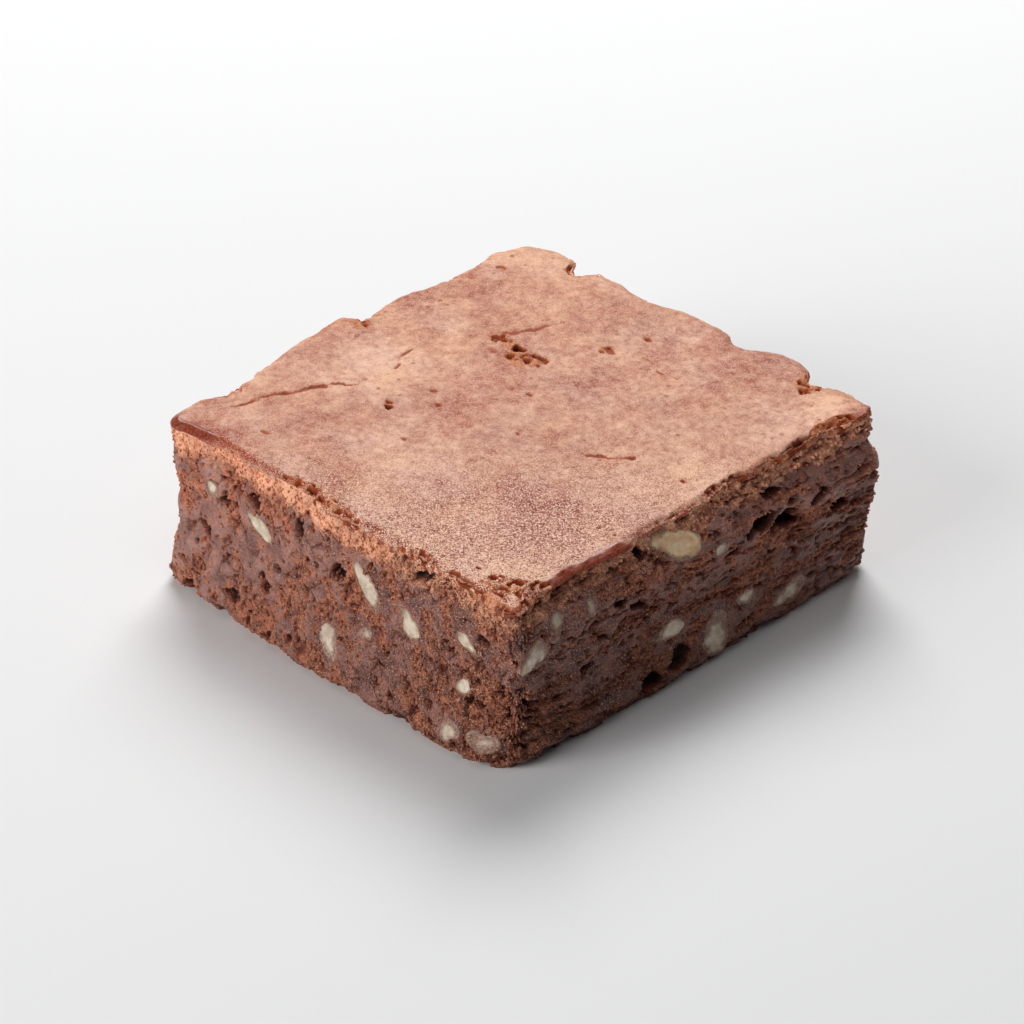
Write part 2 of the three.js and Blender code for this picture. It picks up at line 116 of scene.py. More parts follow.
# Place along the side, height, length, width, depth, turn in degrees, and how much crumb covers the nut
WALNUTS = {
    "front": [
        (-23.6, 17.3, 2.6, 2.0, 1.6, -40, 0.5), (-14.6, 15.6, 5.4, 2.6, 2.0, -38, 0.0),
        (5.8, 15.6, 7.0, 2.7, 2.4, -58, 0.05), (13.4, 13.8, 4.8, 3.0, 2.2, -42, 0.15),
        (0.2, 5.9, 4.6, 3.3, 2.2, -52, 0.35), (6.0, 9.2, 2.0, 1.6, 1.2, 0, 0.8),
        (23.7, 16.0, 3.6, 2.1, 1.6, -32, 0.35), (23.4, 9.5, 2.8, 1.8, 1.6, 30, 0.2),
        (22.8, 3.4, 3.2, 2.9, 2.0, 80, 0.55), (28.2, 3.9, 4.2, 2.8, 1.8, 10, 0.75),
    ],
    "right": [
        (-30.2, 16.6, 5.4, 3.0, 2.0, 34, 0.2), (-26.0, 19.2, 3.8, 2.4, 1.8, 34, 0.6),
        (-19.5, 19.2, 2.8, 1.9, 1.5, 40, 0.7), (-3.8, 20.5, 9.6, 3.6, 2.8, -18, -0.06),
        (3.9, 16.8, 2.4, 1.8, 1.4, 0, 0.5), (-5.7, 8.8, 4.8, 2.8, 2.2, -10, 0.25),
        (2.7, 4.4, 6.0, 5.4, 2.8, 78, 0.4), (8.4, 7.2, 3.9, 1.8, 1.6, -5, 0.55),
        (17.0, 4.2, 7.0, 2.4, 2.0, 20, 0.55),
    ],
    "back": [
        (-26, 18, 4.4, 2.4, 2.0, 35, 0.2), (-13, 6, 5.6, 3.2, 2.4, -50, 0.1),
        (-1, 20, 3.4, 2.2, 1.8, 10, 0.4), (12, 17, 6.2, 2.8, 2.4, 25, 0.05),
        (21, 11, 4.2, 3.0, 2.2, -30, 0.3),
    ],
    "left": [
        (-28, 6, 4.6, 2.6, 2.0, 30, 0.2), (-15, 17, 5.8, 2.6, 2.2, -25, 0.05),
        (-1, 12, 3.6, 2.8, 2.0, 60, 0.3), (10, 5, 6.0, 3.0, 2.4, 15, 0.1),
        (20, 16, 4.8, 2.4, 2.0, -40, 0.4),
    ],
}
# How each side lies on the blank block: the sign of its fixed coordinate, which axis the distance along it is
# read on, its half size, and which way that runs as seen from outside
SIDE_GRIDS = {
    "front": {"sign": -1, "axis": 0, "half": HALF_WIDTH, "rightward": 1},
    "right": {"sign": 1, "axis": 1, "half": HALF_DEPTH, "rightward": 1},
    "back": {"sign": 1, "axis": 0, "half": HALF_WIDTH, "rightward": -1},
    "left": {"sign": -1, "axis": 1, "half": HALF_DEPTH, "rightward": -1},
}
# How far to each side the directions of a place are read, as a share of the half size
CLOSE_BY = 0.04
HIGHEST_NUMBER = 2**32 - 1


def smooth(value, low, high):
    """A smooth step from 0 at low to 1 at high: t squared times three less two t."""
    t = np.clip((value - low) / (high - low), 0, 1)
    return t * t * (3 - 2 * t)


def bell(x, y, at_x, at_y, reach_squared):
    """A bell curve of the distance to a place in plan: 1 there, and falling off over its reach."""
    return np.exp(-((x - at_x) ** 2 + (y - at_y) ** 2) / reach_squared)


def hump(t):
    """A round hump: one less t squared, and 0 past plus or minus 1."""
    return np.clip(1 - t * t, 0, 1)


def stirred(i, j, k):
    """A repeatable 32-bit number for each place in whole numbers: they are multiplied, joined and stirred."""
    i, j, k = (n.astype(np.int64).astype(np.uint32) for n in (i, j, k))
    h = i * np.uint32(374761393) ^ j * np.uint32(668265263) ^ k * np.uint32(2246822519)
    h = (h ^ (h >> np.uint32(13))) * np.uint32(1274126177)
    return h ^ (h >> np.uint32(16))


def lumps(p):
    """Smooth random lumps from -1 to 1: random corner values of each unit cell, blended by smooth steps."""
    low = np.floor(p)
    t = p - low
    t = t * t * (3 - 2 * t)
    total = 0
    for step in itertools.product((0, 1), repeat=3):
        share = np.prod(np.where(step, t, 1 - t), axis=-1)
        total = total + share * (stirred(*np.moveaxis(low + step, -1, 0)) / HIGHEST_NUMBER)
    return 2 * total - 1


def ripples(p, waves):
    """The sum of lumps of several sizes. Each wave is their size, their height and their pattern's shift."""
    return sum(height * lumps(p / size + shift) for size, height, shift in waves)


def layered(p, octaves):
    """Lumps of several sizes added up, each half as large and as high as the one before, from -1 to 1."""
    total = sum(lumps(p * 2.03**n + 17.3 * n) / 2**n for n in range(octaves))
    return total / (2 - 2 ** (1 - octaves))


def cells(p):
    """Distances to the two nearest of random points, one to a unit cell, and the nearest one's own number."""
    low = np.floor(p)
    nearest, second = np.full(p.shape[:-1], 9.0), np.full(p.shape[:-1], 9.0)
    own = np.zeros(p.shape[:-1])
    for step in itertools.product((-1, 0, 1), repeat=3):
        cell = low + step
        h = stirred(*np.moveaxis(cell, -1, 0))
        parts = [(h >> np.uint32(bits)) & np.uint32(1023) for bits in (0, 10, 20)]
        place = cell + np.stack(parts, -1) / 1023
        distance = np.sqrt(((place - p) ** 2).sum(-1))
        own = np.where(distance < nearest, ((h >> np.uint32(7)) & np.uint32(1023)) / 1023, own)
        second = np.minimum(second, np.maximum(nearest, distance))
        nearest = np.minimum(nearest, distance)
    return nearest, second, own


def domes(p):
    """Round grains packed together, one to a unit cell and each of its own height, and 0 between them."""
    nearest, _, own = cells(p)
    return np.sqrt(np.clip(1 - (nearest / 0.85) ** 2, 0, 1)) * (0.4 + 0.6 * own)


def openings(p, smallest, largest):
    """How far a place lies inside a bubble: its radius less the distance to its middle, one to a cell."""
    nearest, _, own = cells(p)
    return smallest + (largest - smallest) * own**1.6 - nearest


def shifted(p, size, amount, seed):
    """Points moved about by lumps of a size, so that a pattern that is read there comes out uneven."""
    return p + amount * np.stack([lumps(p / size + seed + n) for n in (11, 23, 37)], -1)


def side_offset(name, along, z):
    """How far a side stands out: its foot, waist and brim joined by smooth steps, less its chips.

    The right side also bulges, by a bell curve, near its far end.
    """
    side = SIDES[name]
    foot = side["foot"] + side["bow"] * hump((along - 4) / 30)
    out = foot + (side["waist"] - foot) * smooth(z, 0, 13)
    out = out + (side["brim"] - side["waist"]) * smooth(z, 17.5, HEIGHT)
    out = out - 0.9 * (1 - smooth(z, 0, 1.8))
    for at, before, after, depth in side["edge"]:
        reach = np.where(along < at, before, after)
        out = out - depth * hump((along - at) / reach) * smooth(z, 18, 22.5)
    if name == "right":
        out = out + 1.3 * np.exp(-(((along - 33) / 9) ** 2) - ((z - 14.5) / 5) ** 2)
    return out


def crust_height(x, y):
    """The height of the crust: a gentle swell of random lumps, plus a bell curve for each rise."""
    plan = np.stack([x / 13 + 3, y / 13 + 5, np.full_like(x, 0.5)], -1)
    z = HEIGHT - 0.35 + 0.35 * lumps(plan)
    for at_x, at_y, reach, height in CRUST_RISES:
        z = z + height * bell(x, y, at_x, at_y, reach**2)
    return z


def form(a, b, c):
    """Takes a point of the blank block, each coordinate from -1 to 1, to its place on the smooth square.

    The corners are pulled in to arcs, then each side is pushed out by its offset, which fades towards the
    middle.
    """
    z = (c + 1) / 2 * HEIGHT
    x, y = a * HALF_WIDTH, b * HALF_DEPTH
    for sign_x, sign_y, at_crust, at_foot in CORNERS:
        radius = at_foot + (at_crust - at_foot) * smooth(z, 4, 18)
        dx = sign_x * x - (HALF_WIDTH - radius)
        dy = sign_y * y - (HALF_DEPTH - radius)
        pull = np.maximum(dx, dy) / np.maximum(np.hypot(dx, dy), 1e-9)
        in_corner = (dx > 0) & (dy > 0)
        x = np.where(in_corner, sign_x * (HALF_WIDTH - radius + dx * pull), x)
        y = np.where(in_corner, sign_y * (HALF_DEPTH - radius + dy * pull), y)
    out_x = np.where(a > 0, side_offset("right", y, z), side_offset("left", y, z))
    out_y = np.where(b > 0, side_offset("back", x, z), side_offset("front", x, z))
    x = x + np.sign(a) * (out_x * smooth(abs(a), 0.72, 1))
    y = y + np.sign(b) * (out_y * smooth(abs(b), 0.72, 1))
    return np.stack([x, y, z / HEIGHT * crust_height(x, y)], -1)


def outward(a, b):
    """The level direction out of a side, turning to the diagonal over the last tenth before a corner."""
    n = np.stack([np.sign(a) * smooth(abs(a), 0.9, 1), np.sign(b) * smooth(abs(b), 0.9, 1), 0 * a], -1)
    return n / np.maximum(np.linalg.norm(n, axis=-1, keepdims=True), 1e-9)


def on_side(name, s, c):
    """The blank block's coordinates of a place on a side: its share along it and its height from -1 to 1."""
    grid = SIDE_GRIDS[name]
    fixed = np.full_like(s, grid["sign"])
    return (s, fixed, c) if grid["axis"] == 0 else (fixed, s, c)


def places_on(name, features):
    """Centre, rightward, upward and outward directions of features on a side, each turned as it lies.

    Eight rounds close in on the place: each takes off what the one before missed it by. The directions come
    from two more places close by.
    """
    grid = SIDE_GRIDS[name]
    along, height, turn = features[:, 0], features[:, 1], np.radians(features[:, 5])
    s, c = along / grid["half"], 2 * height / HEIGHT - 1
    for _ in range(8):
        reached = form(*on_side(name, s, c))
        s = s + (along - reached[:, grid["axis"]]) / grid["half"]
        c = c + 2 * (height - reached[:, 2]) / HEIGHT
    right = form(*on_side(name, s + CLOSE_BY, c)) - form(*on_side(name, s - CLOSE_BY, c))
    right = grid["rightward"] * right / np.linalg.norm(right, axis=-1, keepdims=True)
    up = form(*on_side(name, s, c + CLOSE_BY)) - form(*on_side(name, s, c - CLOSE_BY))
    out = np.cross(right, up)
    out = out / np.linalg.norm(out, axis=-1, keepdims=True)
    up = np.cross(out, right)
    cos, sin = np.cos(turn)[:, None], np.sin(turn)[:, None]
    return form(*on_side(name, s, c)), cos * right + sin * up, cos * up - sin * right, out


def nut_seed(name, n):
    """The number that a nut's own unevenness comes from: by its side and its turn on it."""
    return 31 * (n + 1) + len(name)


def nut_unevenness(angle, seed):
    """How uneven a nut's outline is: one, plus a cosine of twice and one of three times the angle."""
    swing = stirred(np.array(seed), np.array(1), np.array(0)) / HIGHEST_NUMBER * 2 * np.pi
    return 1 + 0.12 * np.cos(2 * angle + swing) + 0.1 * np.cos(3 * angle - swing)


def local_to(p, centre, right, up, out):
    """A point's distances from a feature's centre to the right, up and out."""
    away = p - centre
    return away @ right, away @ up, away @ out


def hollows(p):
    """Depth of the air pockets and of the nut sockets at points of the sides, and how near a nut they are.

    A pocket is a half ball squeezed to its size, with its outline shifted by lumps. A socket is the nut's
    outline sunk by a steep smooth step.
    """
    ragged = ripples(p, RAGGED_POCKETS)
    moved = shifted(shifted(p, 1.5, 0.75, 0), 0.55, 0.25, 5)
    pocket, socket, near_nut = np.zeros(p.shape[:-1]), np.zeros(p.shape[:-1]), np.zeros(p.shape[:-1])
    for name in SIDES:
        features = np.array(AIR_POCKETS[name], float)
        for (_, _, reach, rise, depth, _), *place in zip(features, *places_on(name, features)):
            u, v, w = local_to(moved, *place)
            r2 = (u / reach) ** 2 + (v / rise) ** 2 + (w / 4) ** 2
            open_part = np.clip(1 - r2 * np.clip(1.2 + ragged, 0.6, 4), 0, 1)
            pocket = np.maximum(pocket, depth * np.sqrt(open_part))
        features = np.array(WALNUTS[name], float)
        placed_nuts = enumerate(zip(features, *places_on(name, features)))
        for n, ((_, _, length, width, depth, _, _), *place) in placed_nuts:
            u, v, w = local_to(p, *place)
            uneven = nut_unevenness(np.arctan2(-v, u), nut_seed(name, n))
            r = np.hypot(u / (length / 2), v / (width / 2)) / uneven + abs(w) / 4
            socket = np.maximum(socket, (depth + 0.5) * smooth(0.93 + 0.36 * ragged - r, 0, 0.2) ** 2)
            near_nut = np.maximum(near_nut, 1 - smooth(r, 1.0, 1.6))
    return pocket, socket, near_nut


def smear_level(p, drawn):
    """How likely the knife smeared a place: slanting streaks on front and back, level ones on the others."""
    q = shifted(p, 2.2, 0.7, 0)
    x, y, z = np.moveaxis(q, -1, 0)
    slanting = layered(np.stack([(0.5 * x - 0.87 * z) / 5.5, (0.87 * x + 0.5 * z) / 2.0, y / 3], -1), 5)
    level = layered(q / (3, 6.0, 1.7) + 5, 5)
    return slanting + (level - slanting) * drawn


def airy_band(p, z, drawn):
    """Where the airy band under the crust lies, and where it is glazed and tanned.

    Its lower edge is a smooth step, at a depth that lumps of two sizes make uneven.
    """
    depth = BAND_DEPTH + ripples(p, RAGGED_BAND)
    band = 1 - smooth(HEIGHT - z, depth - 1.0, depth + 0.8)
    glazed = band * smooth(0.6 * lumps(p / 7 + 77) - 0.03 * p[..., 0], -0.1, 0.5) * (1 - drawn)
    tanned = band * np.clip(0.85 + 0.9 * layered(p / 1.7 + 21, 4), 0.25, 1)
    return band, glazed, tanned


def bubbles(uneven, stretch, drawn, band):
    """How far inside a fine, middling or large bubble each place lies, and how deep the bubble is there."""
    pores = openings(uneven / PORE_CELL / stretch + 7, 0.02, 0.38 + 0.1 * drawn + 0.2 * band) * PORE_CELL
    gaps = openings(shifted(uneven, 0.8, 0.25, 21) / GAP_CELL / stretch + 23, -0.1, 0.34) * GAP_CELL
    holes = openings(shifted(uneven, 1.0, 0.3, 9) / HOLE_CELL / stretch + 50, -0.15, 0.36) * HOLE_CELL
    inside = np.maximum(np.maximum(pores, holes), gaps)
    depth = np.maximum(PORE_DEPTH * smooth(pores, 0, 0.14), HOLE_DEPTH * smooth(holes, 0, 0.35))
    return inside, np.maximum(depth, GAP_DEPTH * smooth(gaps, 0, 0.2))


def torn_relief(nearest, own, grains, level, ledges, drawn):
    """Relief where the crumb is torn: below the cut, with grains, a round lump to each cell, and ledges."""
    torn = -0.75 - 0.3 * smooth(-level, 0.05, 0.6) + grains
    torn = torn + 0.55 * np.sqrt(np.clip(1 - (nearest / 0.82) ** 2, 0, 1)) * (0.45 + 0.55 * own)
    return torn - 0.4 * drawn * smooth(ledges, 0.05, 0.5)


def crags(p, z, ledges, rough_corner, near_nut):
    """The coarse relief of a side, lower at its foot and none at a nut.

    It is lumps of two sizes, less crumbled places at the corner in front, and less ledges and one groove, a
    bell curve of the height, at the far corner.
    """
    crag = ripples(p, CRAGS)
    crag = crag - 1.3 * rough_corner * smooth(layered(p / (3, 3, 1.3) + 71, 4), -0.15, 0.3)
    far_corner = bell(p[..., 0], p[..., 1], *FAR_CORNER)
    crag = crag - far_corner * (1.3 * np.exp(-(((z - 19.6) / 1.5) ** 2)) + 0.8 * smooth(ledges, 0.0, 0.3))
    return crag * (0.35 + 0.65 * smooth(z, 0, 2)) * (1 - near_nut)


def crumb_surface(a, b, c):
    """Places on the cut sides with all their relief, and the values that the crumb's material reads.

    The knife's smears lie in the cut plane. Elsewhere the crumb is torn: lower, with lumps, grains, crevices
    and bubbles of three sizes. Near the crust it is an airy band. On the right and left sides the smears,
    bubbles and ledges are drawn out along the side, as the knife pulled them.
    """
    p = form(a, b, c)
    out = outward(a, b)
    z = (c + 1) / 2 * HEIGHT
    drawn = smooth(abs(out[..., 0]), 0.72, 1)
    stretch = np.stack([1 + 0 * z, 1 + 1.2 * drawn, 1 - 0.35 * drawn], -1)
    pocket, socket, near_nut = hollows(p)
    crisp = smooth(p[..., 0] - p[..., 1], 4, 60)
    band, glazed, tanned = airy_band(p, z, drawn)
    uneven = shifted(p, 0.7, 0.22, 3)
    inside_bubble, bubble_depth = bubbles(uneven, stretch, drawn, band)
    nearest, second, own = cells(shifted(p, 1.2, 0.35, 6) / LUMP_CELL / stretch + 13)
    crevice = np.exp(-(((second - nearest) / 0.08) ** 2)) * smooth(lumps(p / 1.6 + 60), -0.1, 0.5)
    rough_corner = bell(p[..., 0], p[..., 1], *ROUGH_CORNER) * smooth(-z, -16, -9)
    level = smear_level(p, drawn) + 0.09 * (1 - drawn) + 0.12 * drawn * smooth(z, 10, 19)
    level = level - 0.5 * band + 0.45 * near_nut - 0.25 * rough_corner
    whole = (1 - smooth(pocket, 0, 0.15)) * (1 - smooth(inside_bubble, -0.1, 0.02)) * (1 - 0.8 * crevice)
    smear = smooth(level, -0.14, 0.16) * whole
    fine = domes(uneven / 0.5 + 41)
    grains = 0.4 * domes(uneven / stretch + 3) + 0.2 * fine
    ledges = layered(p / (6, 6, 0.62) + 19, 3)
    torn = torn_relief(nearest, own, grains, level, ledges, drawn)
    flat = ripples(p, SMEAR_RIPPLES) - 0.1 * smooth(ledges, 0.25, 0.5) * drawn
    relief = flat * smear + torn * (1 - smear) - (0.4 + 0.7 * rough_corner) * crevice
    relief = (relief - bubble_depth) * (1 - 0.6 * glazed)
    crumbled = smooth(layered(p / (3.4, 3.4, 5) + 91, 5), 0.05, 0.3) * (1 - smooth(z, 0.4, 2.6))
    relief = relief * (1 - 0.8 * near_nut) * smooth(z, -1.2, 0.6) - crumbled
    hollow = np.maximum(pocket * (1 + 0.5 * (grains - 0.3)), socket)
    p = p + out * (crags(p, z, ledges, rough_corner, near_nut) + relief - hollow)[..., None]
    # Partly painted shade: the value is low in crevices and between grains and high on their tips, and the
    # material colours the crumb dark to light by it. Each grain's own height varies it too.
    grains_and_crevice_shade = 0.9 * grains + 0.35 * (fine - 0.4) - 0.4 * crevice
    values = {
        "smear": smear,
        "band": tanned,
        # How deep a place lies below the cut: the material paints shade into the hollows by it.
        "depth": np.clip((-relief + 0.9 * pocket - 0.38 - 0.08 * band) / 1.1, 0, 1),
        "grain_and_shade": np.clip(0.2 + 0.3 * glazed + grains_and_crevice_shade * (1 - 0.6 * glazed), 0, 1),
        "foot": 1 - smooth(z, 0.3, 2.2),
        "specks": crisp * (1 - 0.6 * glazed),
        # Painted shade: this value is 0 near the crust and rises low down, most on the right and left sides,
        # and the material darkens the crumb by it.
        "painted_low_shade": (1 - smooth(z, 8, 21)) * (0.35 + 0.65 * drawn),
    }
    return p, values


def mesh_piece(name, points, groups, values, material):
    """A piece from points in millimetres and groups of equal-sided faces, with a value for each point."""
    mesh = bpy.data.meshes.new(name)
    faces = [face for group in groups for face in group.tolist()]
    mesh.from_pydata(((points + OUTLINE_MIDDLE) / 1000).tolist(), [], faces)
    mesh.shade_smooth()
    for key, value in values.items():
        mesh.attributes.new(key, "FLOAT", "POINT").data.foreach_set("value", value.ravel().astype(np.float32))
    mesh.materials.append(material)
    piece = bpy.data.objects.new(name, mesh)
    bpy.context.scene.collection.objects.link(piece)
    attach(piece, "root")
    return piece


def grid_quads(rows, columns):
    """The four-sided faces of a grid of points that is stored row by row."""
    r, c = np.meshgrid(np.arange(rows - 1), np.arange(columns - 1), indexing="ij")
    corner = (r * columns + c).ravel()
    return np.stack([corner, corner + columns, corner + columns + 1, corner + 1], -1)


def crumb_wedge(name):
    """The points, faces and values of one side: a fine grid down the cut, tucked in above and below.

    The grid's rows run from under the crust, down the side and in under the base. Both ends close to a point
    on the upright through the middle of the square, and each end column closes to that upright in a flat fan.
    """
    grid = SIDE_GRIDS[name]
    columns = int(2 * grid["half"] / FINE_STEP)
    levels = np.linspace(HEIGHT - EDGE_DROP, 0, int(HEIGHT / FINE_STEP))
    s, c = np.meshgrid(np.linspace(-1, 1, columns), 2 * levels / HEIGHT - 1)
    a, b, c = on_side(name, s, c)
    side, values = crumb_surface(a, b, c)
    out = outward(a, b)
    tuck = [side[0] - out[0] * inset - (0, 0, drop) for inset, drop in TUCKED_ROWS]
    under = [side[-1] - out[-1] * inset for inset in BASE_ROWS]
    rows = np.concatenate([np.stack(tuck), side, np.stack(under)])
    for key, value in values.items():
        values[key] = np.concatenate([value[:1]] * len(tuck) + [value] + [value[-1:]] * len(under))
    count = rows.shape[0] * columns
    poles = np.array([[0, 0, HEIGHT - 12.0], [0, 0, 0], [0, 0, HEIGHT / 4]])
    top, bottom, middle = count, count + 1, count + 2
    quads = grid_quads(rows.shape[0], columns)
    first, last = np.arange(columns), count - columns + np.arange(columns)
    fans = [
        np.stack([np.full(columns - 1, top), first[:-1], first[1:]], -1),
        np.stack([np.full(columns - 1, bottom), last[1:], last[:-1]], -1),
    ]
    for column, order in ((0, 1), (columns - 1, -1)):
        edge = np.concatenate([[top], np.arange(rows.shape[0]) * columns + column, [bottom]])
        fan = np.stack([np.full(len(edge) - 1, middle), edge[1:], edge[:-1]], -1)
        fans.append(fan[:, ::order])
    points = np.concatenate([rows.reshape(-1, 3), poles])
    values = {k: np.concatenate([v.ravel(), [0, 0, 0]]) for k, v in values.items()}
    triangles = np.concatenate([quads[:, :3], quads[:, [0, 2, 3]]] + fans)
    first, second, third = (points[triangles[:, n]] for n in range(3))
    volume = np.einsum("ij,ij->", first, np.cross(second, third))
    groups = [quads] + fans
    return points, groups if volume > 0 else [group[:, ::-1] for group in groups], values


def paint(red, green, blue):
    """A colour as seen on a screen, 0 to 255, turned into the linear values that shaders take."""
    share = np.array([red, green, blue]) / 255
    linear = np.where(share <= 0.04045, share / 12.92, ((share + 0.055) / 1.055) ** 2.4)
    return (*linear.tolist(), 1.0)


def add_node(tree, kind, sockets=(), **settings):
    """Adds a node, applies its settings, and fills the named or numbered sockets with values or links."""
    node = tree.nodes.new("ShaderNode" + kind)
    for key, value in settings.items():
        setattr(node, key, value)
    for socket, value in dict(sockets).items():
        if isinstance(value, bpy.types.NodeSocket):
            tree.links.new(value, node.inputs[socket])
        else:
            node.inputs[socket].default_value = value
    return node


def mixed(tree, share, first, second, way="MIX"):
    """The colour between two, by a share from 0 to 1."""
    node = add_node(tree, "Mix", {0: share, 6: first, 7: second}, data_type="RGBA", blend_type=way)
    return node.outputs[2]


def reckoned(tree, operation, first, second, clamp=False):
    """One sum, product or other operation on two values."""
    return add_node(tree, "Math", {0: first, 1: second}, operation=operation, use_clamp=clamp).outputs[0]


def times(tree, first, second, clamp=False):
    """One value times another."""
    return reckoned(tree, "MULTIPLY", first, second, clamp)


def ranged(tree, value, low, high, to_low=0.0, to_high=1.0):
    """A value mapped from one range to another, held at both ends."""
    sockets = {"Value": value, "From Min": low, "From Max": high, "To Min": to_low, "To Max": to_high}
    return add_node(tree, "MapRange", sockets).outputs[0]


def between(tree, share, low, high):
    """A value from low to high, by a share from 0 to 1."""
    return ranged(tree, share, 0.0, 1.0, low, high)


def noise(tree, place, scale, detail, roughness=0.5):
    """Cloudy noise from 0 to 1. Scale is the number of clouds to a metre, and detail adds finer layers."""
    sockets = {"Vector": place, "Scale": scale, "Detail": detail, "Roughness": roughness}
    return add_node(tree, "TexNoise", sockets).outputs["Fac"]


def random_cells(tree, place, scale):
    """Distance to the nearest of random points, so many to a metre, and that point's own number."""
    cell = add_node(tree, "TexVoronoi", {"Vector": place, "Scale": scale})
    own = add_node(tree, "SeparateColor", {0: cell.outputs["Color"]}).outputs[0]
    return cell.outputs["Distance"], own


def value_of(tree, name):
    """The number that the mesh holds for each of its points under this name."""
    return add_node(tree, "Attribute", attribute_name=name).outputs["Fac"]


def effect(name, inputs, outputs):
    """An empty node group with named inputs and outputs, and its inner input and output nodes."""
    tree = bpy.data.node_groups.new(name, "ShaderNodeTree")
    for socket, kind, default in inputs:
        made = tree.interface.new_socket(socket, in_out="INPUT", socket_type="NodeSocket" + kind)
        if default is not None:
            made.default_value = default
    for socket, kind in outputs:
        tree.interface.new_socket(socket, in_out="OUTPUT", socket_type="NodeSocket" + kind)
    return tree, tree.nodes.new("NodeGroupInput"), tree.nodes.new("NodeGroupOutput")


def placed(tree, group, sockets):
    """An effect as a node in a material, with its sockets filled."""
    return add_node(tree, "Group", sockets, node_tree=group)


# Size of one fleck of the baked grain, in metres
GRAIN_SIZE = 0.0003


def grain_effect():
    """The baked_grain effect: soft light and dark specks, tiny pits, a random glint for each granule, and a
    height.

    Specks are layered noise, and pits and granules are cells round random points. Size is in metres.
    """
    tree, given, result = effect(
        "baked_grain",
        [("Place", "Vector", None), ("Size", "Float", GRAIN_SIZE)],
        [("Specks", "Float"), ("Pits", "Float"), ("Glints", "Float"), ("Height", "Float")],
    )
    scale = reckoned(tree, "DIVIDE", 1.0, given.outputs["Size"])
    place = given.outputs["Place"]
    specks = ranged(tree, noise(tree, place, scale, 2.0, 0.65), 0.34, 0.66)
    distance, own = random_cells(tree, place, times(tree, scale, 0.7))
    grains = ranged(tree, distance, 0.75, 0.1)
    reach = ranged(tree, own, 0.45, 1.0, -0.1, 0.42)
    pits = ranged(tree, reckoned(tree, "SUBTRACT", distance, reach), 0.06, -0.1)
    _, glints = random_cells(tree, place, times(tree, scale, 2.2))
    height = reckoned(tree, "ADD", times(tree, specks, 0.5), times(tree, grains, 0.5))
    height = reckoned(tree, "SUBTRACT", height, times(tree, pits, 0.8))
    for socket, value in {"Glints": glints, "Specks": specks, "Pits": pits, "Height": height}.items():
        tree.links.new(value, result.inputs[socket])
    return tree


def grit_and_glints_effect():
    """Turns granules darker or lighter than the colour beneath, by their glints: the darker ones are the
    grains' own colour, the lighter ones partly their own colour and partly painted glints.

    Strength is 0 for none, and Share is how many of them are lighter.
    """
    tree, given, result = effect(
        "grit_and_glints",
        [
            ("Colour", "Color", None), ("Glints", "Float", 0.5), ("Strength", "Float", 1.0),
            ("Share", "Float", 0.42), ("Dark", "Color", None), ("Light", "Color", None),
        ],
        [("Colour", "Color")],
    )
    glints, strength = given.outputs["Glints"], given.outputs["Strength"]
    low = times(tree, ranged(tree, glints, 0.42, 0.0), strength)
    start = reckoned(tree, "SUBTRACT", 1.0, given.outputs["Share"])
    high = times(tree, ranged(tree, glints, start, 1.0), strength)
    darker = mixed(tree, low, given.outputs["Colour"], given.outputs["Dark"])
    tree.links.new(mixed(tree, high, darker, given.outputs["Light"]), result.inputs["Colour"])
    return tree


def hollow_effect():
    """Painted shade in hollows: reddens a colour in shallow hollows, then darkens it in deep ones."""
    tree, given, result = effect(
        "hollow_shade",
        [
            ("Colour", "Color", None), ("Depth", "Float", 0.0),
            ("Glow", "Color", None), ("Deep", "Color", None),
        ],
        [("Colour", "Color")],
    )
    glow = ranged(tree, given.outputs["Depth"], 0.0, 0.3, 0.0, 0.8)
    reddened = mixed(tree, glow, given.outputs["Colour"], given.outputs["Glow"])
    share = ranged(tree, given.outputs["Depth"], 0.15, 0.85)
    tree.links.new(mixed(tree, share, reddened, given.outputs["Deep"]), result.inputs["Colour"])
    return tree


def rough_grain(tree, shader, grain_and_shade, strength, distance):
    """Lets the height from the baked_grain node tilt the surface, by a strength and a distance in metres."""
    sockets = {"Height": grain_and_shade.outputs["Height"], "Strength": strength, "Distance": distance}
    bump = add_node(tree, "Bump", sockets)
    tree.links.new(bump.outputs[0], shader.inputs["Normal"])


baked_grain = grain_effect()
grit_and_glints = grit_and_glints_effect()
hollow_shade = hollow_effect()


def new_material(name):
    """A material with only its output and main shader, and the node that gives a point's own coordinates."""
    material = bpy.data.materials.new(name)
    material.use_nodes = True
    tree = material.node_tree
    shader = tree.nodes["Principled BSDF"]
    place = tree.nodes.new("ShaderNodeTexCoord").outputs["Object"]
    return material, tree, shader, place


